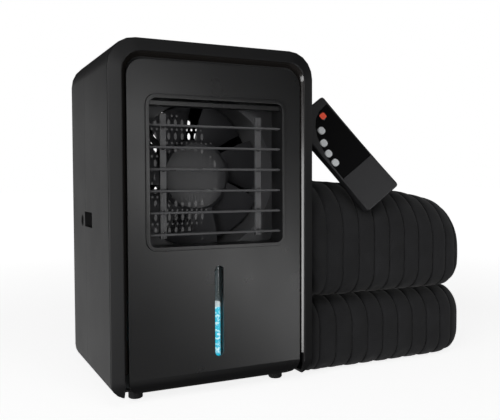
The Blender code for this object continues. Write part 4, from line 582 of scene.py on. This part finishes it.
def loft(bm: BMesh, rings: list, ladder: bool = False) -> None:
    """Skin rings of equal count and close both ends.

    Args:
        bm: the mesh to add to.
        rings: lists of points.
        ladder: closes the ends with rows of four-sided faces, for flat rings that start at their edge.
    """
    rows = [[bm.verts.new(point) for point in ring] for ring in rings]
    count = len(rows[0])
    for near, far in zip(rows, rows[1:]):
        for at in range(count):
            after = (at + 1) % count
            bm.faces.new((near[at], near[after], far[after], far[at]))
    for row in (rows[0], rows[-1]):
        if ladder:
            bm.faces.new((row[0], row[1], row[-1]))
            for at in range(1, count // 2 - 1):
                bm.faces.new((row[at], row[at + 1], row[count - at - 1], row[count - at]))
            middle = count // 2
            bm.faces.new((row[middle - 1], row[middle], row[middle + 1]))
        else:
            bm.faces.new(row)


def spaced(path: list[Vector], count: int, shift: Vector) -> list[Vector]:
    """Walk round a closed path and give evenly spaced points.

    Args:
        path: the path's corners.
        count: how many points to give.
        shift: what is added to each point.

    Returns:
        The points.
    """
    closed = path + [path[0]]
    lengths = [0.0]
    for here, there in zip(closed, closed[1:]):
        lengths.append(lengths[-1] + (there - here).length)
    points = []
    at = 0
    for step in range(count):
        want = lengths[-1] * step / count
        while lengths[at + 1] < want:
            at += 1
        share = (want - lengths[at]) / max(lengths[at + 1] - lengths[at], 1e-9)
        points.append(closed[at].lerp(closed[at + 1], share) + shift)
    return points


def drawn_in(ring: list[Vector], distance: float) -> list[Vector]:
    """Move a ring that lies across the set inwards.

    Args:
        ring: the ring, which runs from the front and under to the back.
        distance: how far it moves.

    Returns:
        The moved points.
    """
    moved = []
    for at, point in enumerate(ring):
        along = ring[(at + 1) % len(ring)] - ring[at - 1]
        inward = Vector((0, -along.z, along.y)).normalized()
        moved.append(point + inward * distance)
    return moved


def between(before: Vector, start: Vector, end: Vector, after: Vector, share: float) -> Vector:
    """Read a smooth curve through four points between its second and third.

    Args:
        before: the first point.
        start: the second point.
        end: the third point.
        after: the fourth point.
        share: the place between the second and third, from 0 to 1.

    Returns:
        The point there.
    """
    square = share * share
    cube = square * share
    return 0.5 * (2 * start + (end - before) * share + (2 * before - 5 * start + 4 * end - after) * square
                  + (3 * start - before - 3 * end + after) * cube)


@dataclass
class Assembly:
    """A sub-assembly of the set, dressed in the workshop with the set's finishes."""

    shop: Workshop
    finishes: Finishes


@dataclass
class Casing(Assembly):
    """Casing of the unit with its panel, feet and openings."""

    corner: tuple[float, float] = (72.6 * MM, 299.1 * MM)
    corner_radius: float = 18.0 * MM
    slope_from: float = 1.0 * MM
    slope_reach: tuple[float, float] = (3.7 * MM, 5.5 * MM)
    flange_depth: float = 12.0 * MM
    flange_slack: tuple[float, float] = (0.4 * MM, 0.1 * MM)
    panel_edge: float = 0.9 * MM

    def build(self) -> None:
        """Dress the shells, the panel, the feet, the cap, the inlet and the ports."""
        shop, looks = self.shop, self.finishes
        self.slope_reveal(shop.skin("front_housing", looks.casing, "casing").data)
        shop.skin("rear_cover", looks.casing, "casing")
        shop.skin("front_panel", looks.panel, "panel", edge=self.panel_edge)
        shop.skin("outlet_frame", looks.panel, "panel")
        shop.skin("fill_cap", looks.casing, "casing")
        shop.skin("fill_neck", looks.tank, "tank")
        for node in ("power_inlet", "hose_port_out", "hose_port_in", "foot_front_left", "foot_front_right",
                     "foot_rear_left", "foot_rear_right"):
            shop.skin(node, looks.rubber, "rubber")

    def inset(self, place: Vector) -> tuple[float, Vector]:
        """Measure a point's distance from the reveal's corner centres and its way outwards.

        Args:
            place: the point, in unit coordinates.

        Returns:
            The distance, and the direction outwards in the face's plane.
        """
        across = math.copysign(max(abs(place.x) - self.corner[0], 0.0), place.x)
        way = Vector((across, 0.0, max(place.z - self.corner[1], 0.0)))
        return way.length, way.normalized()

    def slope_reveal(self, mesh: Mesh) -> None:
        """Slope the reveal from the rim's crest towards the panel and polish it.

        Args:
            mesh: the front housing's own mesh.
        """
        inwards, forwards = self.slope_reach
        beside, before = self.flange_slack
        for vert in mesh.vertices:
            place = vert.co - self.shop.origin
            reach, way = self.inset(place)
            if abs(place.y - self.flange_depth) < before and reach > self.corner_radius - beside:
                vert.co -= way * inwards + Vector((0.0, forwards, 0.0))
        mesh.update()
        mesh.materials.append(self.finishes.reveal)
        foot = self.flange_depth - forwards
        for face in mesh.polygons:
            place = face.center - self.shop.origin
            reach = self.inset(place)[0]
            if self.slope_from < place.y < foot and abs(reach - self.corner_radius + inwards / 2) < inwards:
                face.material_index = 1


@dataclass
class AirPath(Assembly):
    """Louvres, duct, fan and the perforated intake."""

    centre_z: float = 208 * MM
    front: float = 171.2 * MM
    thickness: float = 2.0 * MM
    reach: float = 76.5 * MM
    hole_reach: float = 74.5 * MM
    oval: tuple[float, float] = (4.2 * MM, 8.5 * MM)
    oval_pitch: float = 8.3 * MM
    dot: float = 3.0 * MM
    dot_pitch: float = 6.1 * MM
    row_pitch: float = 15.8 * MM
    bridge: float = 1.4 * MM
    hole_sides: int = 16
    louvre_edge: float = 0.95 * MM
    louvre_turn: float = 60.0
    hub_core: float = 20.0 * MM
    hub_edge: float = 32.4 * MM
    hub_growth: float = 1.45

    def build(self) -> None:
        """Dress the moving and fixed pieces of the air path."""
        shop, looks = self.shop, self.finishes
        for count in range(1, 7):
            shop.skin(f"louvre_{count}", looks.louvre, "louvre", self.louvre_edge, self.louvre_turn, facets=1)
        shop.skin("link_bar_left", looks.link, "louvre")
        shop.skin("link_bar_right", looks.link, "louvre")
        shop.skin("air_duct", looks.duct, "duct")
        shop.skin("fan_shroud", looks.duct, "duct")
        self.fill_hub(shop.skin("fan_rotor", looks.fan, "fan").data)
        shop.skin("fan_motor", looks.metal, "metal")
        self.intake()

    def fill_hub(self, mesh: Mesh) -> None:
        """Draw the hub's rim outwards over the roots of the blades.

        Args:
            mesh: the rotor's own mesh.
        """
        for vert in mesh.vertices:
            away = vert.co - self.shop.origin - Vector((0.0, 0.0, self.centre_z))
            away.y = 0.0
            if self.hub_core < away.length < self.hub_edge:
                vert.co += away.normalized() * (away.length - self.hub_core) * (self.hub_growth - 1.0)
        mesh.update()

    def cell(self, bm: BMesh, x: float, z: float, width: float, height: float,
             hole: tuple[float, float]) -> None:
        """Add one cell of the intake plate, with or without its hole.

        Args:
            bm: the mesh to add to.
            x: the cell's centre across.
            z: the cell's centre up, from the plate's centre.
            width: the cell's width.
            height: the cell's height.
            hole: the hole's width and height.
        """
        if math.hypot(x, z) > self.reach:
            return
        depth = self.front + self.thickness / 2
        corners = [Vector((x + width / 2 * u, depth, self.centre_z + z + height / 2 * v))
                   for u, v in ((1, 1), (-1, 1), (-1, -1), (1, -1))]
        if math.hypot(x, z) > self.hole_reach:
            bm.faces.new([bm.verts.new(corner) for corner in corners])
            return
        rim, edge = [], []
        for step in range(self.hole_sides):
            turn = math.tau * (step + 0.5) / self.hole_sides
            cos, sin = math.cos(turn), math.sin(turn)
            reach = max(abs(cos) / (width / 2), abs(sin) / (height / 2))
            rim.append(bm.verts.new((x + hole[0] / 2 * cos, depth, self.centre_z + z + hole[1] / 2 * sin)))
            edge.append(bm.verts.new((x + cos / reach, depth, self.centre_z + z + sin / reach)))
        for step in range(self.hole_sides):
            after = (step + 1) % self.hole_sides
            bm.faces.new((rim[step], rim[after], edge[after], edge[step]))
            here, there = edge[step].co, edge[after].co
            if min(abs(here.x - there.x), abs(here.z - there.z)) > HAIR:
                corner = min(corners, key=lambda place: (place - here).length + (place - there).length)
                bm.faces.new((edge[step], edge[after], bm.verts.new(corner)))

    def intake(self) -> None:
        """Make the perforated intake: rows of upright ovals with rows of dots between them."""
        bm = bmesh.new()
        rows = int(self.reach / self.row_pitch) + 1
        oval_height = self.oval[1] + self.bridge
        dot_height = self.row_pitch - oval_height
        for row in range(-rows, rows + 1):
            z = row * self.row_pitch
            for pitch, height, hole, level in ((self.oval_pitch, oval_height, self.oval, z),
                                               (self.dot_pitch, dot_height, (self.dot, self.dot),
                                                z + self.row_pitch / 2)):
                columns = int(self.reach / pitch) + 1
                for column in range(-columns, columns + 1):
                    self.cell(bm, column * pitch, level, pitch, height, hole)
        plate = self.shop.piece("intake_plate", bm, self.finishes.intake, "unit")
        walls = plate.modifiers.new("thickness", "SOLIDIFY")
        walls.thickness = self.thickness
        walls.offset = 0.0
        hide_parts("intake_grille")


@dataclass
class WaterSide(Assembly):
    """Tank, cooler, pump, hoses and the sight tube with its water."""

    water_depth: float = 10.7 * MM
    water_radius: float = 3.9 * MM
    water_low: float = 33.9 * MM
    water_high: float = 82.9 * MM
    water_rows: int = 60
    water_sides: int = 20

    def build(self) -> None:
        """Dress the water side and fill the tube."""
        shop, looks = self.shop, self.finishes
        shop.skin("water_tank", looks.tank, "tank")
        shop.skin("tank_lid", looks.tank, "tank")
        shop.skin("sight_tube", looks.tube, "clear")
        shop.skin("level_float", looks.float, "float")
        shop.skin("cooling_module", looks.ceramic, "cooler")
        shop.skin("heat_sink", looks.metal, "metal")
        shop.skin("pump_body", looks.duct, "duct")
        shop.skin("pump_impeller", looks.fan, "fan")
        shop.skin("pump_motor", looks.metal, "metal")
        for name in ("suction_hose", "delivery_hose", "return_hose", "fill_pipe"):
            shop.skin(name, looks.hose, "hose")
        shop.skin("control_board", looks.board, "board")
        self.water()

    def water(self) -> None:
        """Fill the sight tube below the float with a fixed column of water."""
        bm = bmesh.new()
        rings = []
        turns = [math.tau * at / self.water_sides for at in range(self.water_sides)]
        for row in range(self.water_rows + 1):
            z = self.water_low + (self.water_high - self.water_low) * row / self.water_rows
            rings.append([(self.water_radius * math.cos(turn),
                           self.water_depth + self.water_radius * math.sin(turn), z) for turn in turns])
        loft(bm, rings)
        column = self.shop.piece("water_column", bm, self.finishes.water, None)
        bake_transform(column)


@dataclass(frozen=True)
class Bundle:
    """One folded bundle of the pad.

    Attributes:
        name: the bundle's name.
        low: the height of its underside.
        height: its full height.
        fall: how far its top falls towards the far end.
        rise: how far its top rises towards the back.
        shoulder: the radius of its upper corners.
        first_seam: the first seam's distance from the bundle's inner end.
        seed: where its creases start.
    """

    name: str
    low: float
    height: float
    fall: float
    rise: float
    shoulder: float
    first_seam: float
    seed: int


@dataclass
class QuiltedPad(Assembly):
    """Folded pad: two bundles of brushed knit with sewn channels, swollen by a cloth simulation."""

    left: float = 103.8 * MM
    width: float = 221.5 * MM
    front: float = 13.0 * MM
    depth: float = 195.0 * MM
    lower_top: float = 79.5 * MM
    stack_gap: float = 0.3 * MM
    pitch: float = 20.0 * MM
    seams: int = 10
    fold: float = 26.0 * MM
    inner_end: float = 12.0 * MM
    end_round: float = 26.0 * MM
    end_sweep: float = 58.0 * MM
    end_draw: float = 46.0 * MM
    squareness: float = 2.4
    seam_inset: float = 0.9 * MM
    inset_reach: float = 5.0 * MM
    at_seam: float = 0.1 * MM
    row_gap: float = 2.0 * MM
    groove: float = 0.9 * MM
    groove_reach: float = 1.3 * MM
    swell_cap: float = 1.2 * MM
    end_rows: int = 9
    channel_rows: int = 5
    around: int = 132
    arc_steps: int = 16
    pressure: float = 4.0
    slack: float = -0.008
    shake: float = 0.25 * MM
    shake_scale: float = 40.0
    frames: int = 20
    fine_shares: tuple[float, ...] = (0.0, 0.03, 0.07, 0.14, 0.26, 0.38, 0.5, 0.62, 0.74, 0.86, 0.93, 0.97)
    stitch: float = 3.0 * MM
    stitch_gap: float = 1.2 * MM
    thread: float = 0.45 * MM
    thread_lift: float = 0.6
    thread_sides: int = 6
    stitch_form: tuple[tuple[float, float], ...] = ((0.0, 0.35), (0.2, 0.9), (0.8, 0.9), (1.0, 0.35))

    def build(self) -> None:
        """Make both bundles and their stitching."""
        gap, top = self.stack_gap, self.lower_top
        self.bundle(Bundle("pad_lower", low=gap, height=top - gap, fall=0.0, rise=0.0, shoulder=30.0 * MM,
                           first_seam=13.9 * MM, seed=11))
        self.bundle(Bundle("pad_upper", low=top + gap, height=122.6 * MM, fall=29.0 * MM, rise=2.5 * MM,
                           shoulder=52.0 * MM, first_seam=22.4 * MM, seed=23))

    def ease(self, distance: float, length: float) -> float:
        """Give the share of full size left near an end."""
        share = min(1.0, max(0.0, 1 - distance / length))
        return (1 - share ** self.squareness) ** (1 / self.squareness)

    def seam_places(self, bundle: Bundle) -> list[float]:
        """Give the distances of the bundle's seams from its inner end."""
        return [bundle.first_seam + self.pitch * at for at in range(self.seams)]

    def rows(self, bundle: Bundle) -> list[float]:
        """Give the rows of the simulated cloth: close together at both ends, even between the seams.

        Args:
            bundle: the bundle.

        Returns:
            The rows' distances from the inner end.
        """
        seams = self.seam_places(bundle)
        step = math.pi / 2 / self.end_rows
        power = 2 / self.squareness
        near = [self.inner_end * (1 - math.cos(step * at) ** power) for at in range(1, self.end_rows)]
        far = [self.width - self.end_round * (1 - math.cos(step * at) ** power)
               for at in range(1, self.end_rows)]
        even = [seams[0] + self.pitch / self.channel_rows * at
                for at in range(self.channel_rows * (self.seams - 1) + 1)]
        near = [place for place in near if place < seams[0] - self.row_gap]
        far = [place for place in reversed(far) if place > seams[-1] + self.row_gap]
        return near + even + far

    def outline(self, bundle: Bundle, x: float) -> list[Vector]:
        """Give the bundle's section at a place across it, as evenly spaced points.

        Args:
            bundle: the bundle.
            x: the distance from the bundle's inner end.

        Returns:
            Points in unit coordinates, from the front and under it to the back.
        """
        size = self.ease(self.width - x, self.end_round) * self.ease(x, self.inner_end)
        draw = self.end_draw * (1 - self.ease(self.width - x, self.end_sweep))
        high = bundle.low + bundle.height - bundle.fall * (x / self.width) ** 2
        middle = (bundle.low + high) / 2
        half = (high - bundle.low) / 2 * size
        base, top = middle - half, middle + half
        near, far = self.front + draw, self.front + self.depth - draw
        fold = self.fold * size
        crest = min(bundle.shoulder, (top - base) - fold) * size
        arcs = (((near + fold, base + fold), fold, 180), ((far - fold, base + fold), fold, 270),
                ((far - crest, top - crest), crest, 0), ((near + crest, top - crest), crest, 90))
        path = [Vector((0, y + radius * math.cos(turn), z + radius * math.sin(turn)))
                for (y, z), radius, start in arcs
                for turn in (math.radians(start + 90 * step / self.arc_steps)
                             for step in range(self.arc_steps + 1))]
        for point in path:
            back = max(0.0, (point.y - self.front) / self.depth)
            up = max(0.0, (point.z - base) / max(top - base, MM))
            point.z += bundle.rise * size * (back * up)
        return spaced(path, self.around, Vector((self.left + x, 0, 0)))

    def bundle(self, bundle: Bundle) -> None:
        """Make one bundle of padded cloth with its stitching.

        Args:
            bundle: the bundle.
        """
        rows = self.rows(bundle)
        seams = self.seam_places(bundle)
        rings = [self.outline(bundle, x) for x in rows]
        away = [min(abs(x - seam) for seam in seams) for x in rows]
        inset = [drawn_in(ring, self.seam_inset * max(0.0, 1 - far / self.inset_reach))
                 for far, ring in zip(away, rings)]
        held = {at for at, far in enumerate(away) if far < self.at_seam} | {0, len(rows) - 1}
        inset = self.swell(bundle, inset, held)
        fine, tight = self.refine(rows, inset, seams)
        bm = bmesh.new()
        loft(bm, fine, ladder=True)
        cloth = self.shop.piece(bundle.name + "_cloth", bm, self.finishes.fabric, "pad", angle=80)
        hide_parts(bundle.name)
        self.stitches(bundle, tight)

    def swell(self, bundle: Bundle, rings: list[list[Vector]], held: set[int]) -> list[list[Vector]]:
        """Blow the cloth up between its seams, as wadding does.

        Args:
            bundle: the bundle.
            rings: the cloth's rings before.
            held: the rings that stay where they are.

        Returns:
            The rings after the simulation, kept within the cap and off what the bundle rests on.
        """
        bm = bmesh.new()
        way, seed = Vector((0, self.shake, self.shake)), Vector((bundle.seed, 0, 0))
        shaken = [[point if at in held else point + way * noise.noise(point * self.shake_scale + seed)
                   for point in ring] for at, ring in enumerate(rings)]
        loft(bm, shaken, ladder=True)
        model = placed("slack_cloth", bm)
        mesh = model.data
        pins = model.vertex_groups.new(name="seams")
        fixed = [at * self.around + turn for at in sorted(held) for turn in range(self.around)]
        pins.add(fixed, 1.0, "REPLACE")
        cloth = model.modifiers.new("cloth", "CLOTH")
        wadding = {"quality": 6, "mass": 0.2, "tension_stiffness": 12, "compression_stiffness": 8,
                   "bending_stiffness": 0.3, "use_pressure": True, "uniform_pressure_force": self.pressure,
                   "vertex_group_mass": pins.name, "shrink_min": self.slack}
        for name, value in wadding.items():
            setattr(cloth.settings, name, value)
        cloth.settings.effector_weights.gravity = 0.0
        cloth.point_cache.frame_start = 1
        cloth.point_cache.frame_end = self.frames
        for frame in range(1, self.frames + 1):
            bpy.context.scene.frame_set(frame)
        settled = model.evaluated_get(bpy.context.evaluated_depsgraph_get()).to_mesh()
        points = [vertex.co.copy() for vertex in settled.vertices]
        model.evaluated_get(bpy.context.evaluated_depsgraph_get()).to_mesh_clear()
        bpy.context.scene.frame_set(1)
        bpy.data.objects.remove(model)
        bpy.data.meshes.remove(mesh)
        out = []
        ceiling = self.lower_top if bundle.low < self.lower_top else math.inf
        for at, ring in enumerate(rings):
            moved = []
            for turn, start in enumerate(ring):
                step = points[at * self.around + turn] - start
                if step.length > self.swell_cap:
                    step *= self.swell_cap / step.length
                place = start + step
                place.z = min(max(place.z, bundle.low), ceiling)
                place.x = max(place.x, self.left)
                moved.append(place)
            out.append(moved)
        return out

    def refine(self, rows: list[float], rings: list[list[Vector]],
               seams: list[float]) -> tuple[list[list[Vector]], list[list[Vector]]]:
        """Read the cloth off at finer rows and draw the thread's groove in at each seam.

        Args:
            rows: the rings' distances from the inner end.
            rings: the cloth's rings.
            seams: the seams' distances from the inner end.

        Returns:
            The finer rings, and those that lie at the seams.
        """
        wanted = [place for place in rows if not seams[0] <= place <= seams[-1]]
        wanted += [seam + self.pitch * share for seam in seams[:-1] for share in self.fine_shares]
        wanted += [seams[0] - self.groove_reach / 2, seams[-1], seams[-1] + self.groove_reach / 2,
                   seams[-1] + self.groove_reach]
        fine, tight = [], []
        for x in sorted(wanted):
            at = max(1, min(len(rows) - 3, next((i for i, row in enumerate(rows) if row > x), len(rows)) - 1))
            if x < rows[1] or x > rows[-2]:
                ring = rings[rows.index(x)]
            else:
                share = (x - rows[at]) / (rows[at + 1] - rows[at])
                ring = [between(*four, share) for four in zip(*rings[at - 1:at + 3])]
            away = min(abs(x - seam) for seam in seams)
            ring = drawn_in(ring, self.groove * math.exp(-(away / (self.groove_reach / 2)) ** 2))
            fine.append(ring)
            if away < self.at_seam:
                tight.append(ring)
        return fine, tight

    def stitches(self, bundle: Bundle, seams: list[list[Vector]]) -> None:
        """Sew each seam with a row of thread stitches lying in its groove.

        Args:
            bundle: the bundle.
            seams: the rings at the seams.
        """
        bm = bmesh.new()
        for ring in seams:
            raised = drawn_in(ring, -self.thread * self.thread_lift)
            length = sum((raised[at] - raised[at - 1]).length for at in range(len(raised)))
            count = int(length / (self.stitch + self.stitch_gap)) * 3
            points = spaced(raised, count, Vector((0, 0, 0)))
            for at in range(0, count, 3):
                self.stitch_bar(bm, points[at], points[(at + 2) % count])
        thread = self.shop.piece(bundle.name + "_stitching", bm, self.finishes.thread, "pad", angle=60)

    def stitch_bar(self, bm: BMesh, start: Vector, end: Vector) -> None:
        """Add one stitch, thicker in its middle.

        Args:
            bm: the mesh to add to.
            start: where the thread comes up.
            end: where it goes down again.
        """
        along = end - start
        side = Vector((1, 0, 0)) * self.thread
        up = along.cross(side).normalized() * self.thread
        rings = []
        turns = [math.tau * at / self.thread_sides for at in range(self.thread_sides)]
        for share, size in self.stitch_form:
            middle = start + along * share
            rings.append([middle + (side * math.cos(turn) + up * math.sin(turn)) * size for turn in turns])
        loft(bm, rings)


@dataclass
class Remote(Assembly):
    """Hand remote with its keys."""

    collar_width: float = 0.55 * MM

    def build(self) -> None:
        """Dress the remote."""
        shop, looks = self.shop, self.finishes
        shop.skin("remote_back", looks.remote, "remote")
        shop.skin("remote_front", looks.remote, "remote")
        shop.skin("remote_faceplate", looks.gloss, "gloss")
        shop.skin("remote_board", looks.board, "board")
        shop.skin("remote_cell", looks.metal, "metal")
        shop.skin("battery_door", looks.remote, "remote")
        self.collar(shop.skin("power_button", looks.red, "red").data)
        for count in range(1, 5):
            shop.skin(f"mode_button_{count}", looks.grey, "grey")

    def collar(self, key: Mesh) -> None:
        """Leave a gloss black collar round the coloured middle of the power key.

        Args:
            key: the key's own mesh.
        """
        bm = bmesh.new()
        bm.from_mesh(key)
        largest = max(face.calc_area() for face in bm.faces)
        wide = [face for face in bm.faces if face.calc_area() > largest / 2]
        cap = min(wide, key=lambda face: face.normal.y)
        bmesh.ops.inset_region(bm, faces=[cap], thickness=self.collar_width, use_even_offset=True)
        for face in bm.faces:
            face.material_index = 0 if face == cap else 1
        bm.to_mesh(key)
        bm.free()
        key.materials.append(self.finishes.gloss)


@dataclass(frozen=True)
class Softbox:
    """A soft light.

    Attributes:
        name: the light's name.
        place: where it hangs, in unit coordinates.
        size: its width and height.
        power: its power in watts.
        target: what it faces, the middle of the set unless it is given.
        tilt: how far it is turned about its own axis, in degrees.
    """

    name: str
    place: tuple[float, float, float]
    size: tuple[float, float]
    power: float
    target: tuple[float, float, float] = (0.05, 0.1, 0.15)
    tilt: float = 0.0


@dataclass
class Studio:
    """Floor, soft lights and the camera."""

    shop: Workshop
    ambient: float = 0.03
    floor_half: float = 12.0
    floor_drop: float = 0.2 * MM
    floor_glow: tuple[float, float] = (0.84, 1.0)
    glow_reach: tuple[float, float] = (0.45, 1.6)
    yaw: float = 0.44552
    pitch: float = 0.04258
    roll: float = 0.00347
    eye: tuple[float, float, float] = (-0.242685, -0.573147, 0.201996)
    focal_px: float = 665.943
    frame_px: float = 500.0
    sensor_mm: float = 36.0
    boxes: tuple[Softbox, ...] = (
        Softbox("key_left_front", (-1.3, -1.0, 0.6), (0.9, 0.9), 6.0),
        Softbox("streak_left", (-1.5, -0.3, -0.05), (0.7, 0.7), 7.2),
        Softbox("fill_left_low", (-1.1, -1.1, -0.1), (0.7, 0.7), 1.0),
        Softbox("fill_high", (0.0, -1.2, 1.6), (0.9, 0.9), 1.5),
        Softbox("fill_low", (0.1, -1.2, -0.7), (0.8, 0.8), 0.5),
        Softbox("sheen_low", (-0.9, 2.0, -0.7), (1.0, 1.0), 2.8),
        Softbox("sheen_far", (-0.7, 2.4, 0.2), (1.0, 1.0), 2.0),
        Softbox("fill_right", (1.8, 0.0, 0.3), (0.9, 0.9), 1.0),
        Softbox("crown", (0.9, -1.4, 2.4), (0.9, 0.9), 0.5),
        Softbox("band", (0.749, -1.5, -0.06), (1.68, 0.2), 4.4, (0.749, 0.0, -0.06), -45.0),
        Softbox("band_low", (0.608, -1.5, -0.201), (1.68, 0.2), 0.3, (0.608, 0.0, -0.201), -45.0),
    )

    def build(self) -> None:
        """Set the floor, lights, world and camera."""
        self.floor()
        for box in self.boxes:
            self.light(box)
        self.sky()
        self.camera()

    def floor(self) -> None:
        """Lay a wide pale floor under the set, which mirrors in nothing."""
        bm = bmesh.new()
        bmesh.ops.create_grid(bm, x_segments=1, y_segments=1, size=self.floor_half)
        made = placed("studio_floor", bm)
        finish = MouldedPlastic("painted_studio_floor", "f2f2f2", 0.6, Grain.POLISHED).material()
        tree = finish.node_tree
        shader = tree.nodes["Principled BSDF"]
        shader.inputs["Emission Color"].default_value = linear("ffffff")
        place = add(tree, "ShaderNodeTexCoord", {}, {})
        away = add(tree, "ShaderNodeVectorMath", {"operation": "LENGTH"}, {"Vector": place.outputs["Object"]})
        start, end = self.glow_reach
        near, far = self.floor_glow
        glow = add(tree, "ShaderNodeMapRange",
                   {"From Min": start, "From Max": end, "To Min": near, "To Max": far},
                   {"Value": away.outputs["Value"]})
        tree.links.new(glow.outputs["Result"], shader.inputs["Emission Strength"])
        made.data.materials.append(finish)
        made.location = (0, 0, -self.floor_drop)
        made.visible_glossy = False
        made.visible_diffuse = False
        made.visible_shadow = False

    def light(self, box: Softbox) -> None:
        """Hang a soft box.

        Args:
            box: the soft box.
        """
        lamp = bpy.data.lights.new(box.name, "AREA")
        lamp.shape = "RECTANGLE"
        lamp.size, lamp.size_y = box.size
        lamp.energy = box.power
        made = bpy.data.objects.new(box.name, lamp)
        made.location = Vector(box.place) + self.shop.origin
        made.rotation_mode = "QUATERNION"
        facing = (Vector(box.target) - Vector(box.place)).to_track_quat("-Z", "Y")
        made.rotation_quaternion = facing @ Quaternion((0, 0, 1), math.radians(box.tilt))
        made.visible_camera = False
        bpy.context.scene.collection.objects.link(made)

    def sky(self) -> None:
        """Light the room evenly and show it white."""
        world = bpy.data.worlds.new("studio")
        world.use_nodes = True
        tree = world.node_tree
        back = tree.nodes["Background"]
        back.inputs["Color"].default_value = linear("ffffff")
        path = add(tree, "ShaderNodeLightPath", {}, {})
        level = add(tree, "ShaderNodeMapRange", {"To Min": self.ambient, "To Max": 1.0},
                    {"Value": path.outputs["Is Camera Ray"]})
        tree.links.new(level.outputs["Result"], back.inputs["Strength"])
        bpy.context.scene.world = world
        bpy.context.scene.view_settings.view_transform = "Standard"

    def camera(self) -> None:
        """Put the camera at the photograph's angle."""
        ahead = Vector((math.sin(self.yaw) * math.cos(self.pitch), math.cos(self.yaw) * math.cos(self.pitch),
                        -math.sin(self.pitch)))
        right = Vector((math.cos(self.yaw), -math.sin(self.yaw), 0.0))
        down = ahead.cross(right)
        level = right * math.cos(self.roll) + down * math.sin(self.roll)
        plumb = down * math.cos(self.roll) - right * math.sin(self.roll)
        lens = bpy.data.cameras.new("camera")
        lens.sensor_width = self.sensor_mm
        lens.lens = self.focal_px * self.sensor_mm / self.frame_px
        lens.clip_start = 0.01
        made = bpy.data.objects.new("camera", lens)
        turn = Matrix((level, -plumb, -ahead)).transposed()
        made.matrix_world = Matrix.Translation(Vector(self.eye) + self.shop.origin) @ turn.to_4x4()
        bpy.context.scene.collection.objects.link(made)
        bpy.context.scene.camera = made


def main() -> None:
    """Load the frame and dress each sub-assembly."""
    logging.basicConfig(level=logging.INFO, format="%(message)s")
    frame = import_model()
    shop = Workshop(frame)
    looks = Finishes()
    dressers = [kind(shop, looks) for kind in (Casing, AirPath, WaterSide, QuiltedPad, Remote)]
    for assembly in (*dressers, Studio(shop)):
        LOG.info("building %s", type(assembly).__name__)
        assembly.build()


if __name__ == "__main__":
    main()
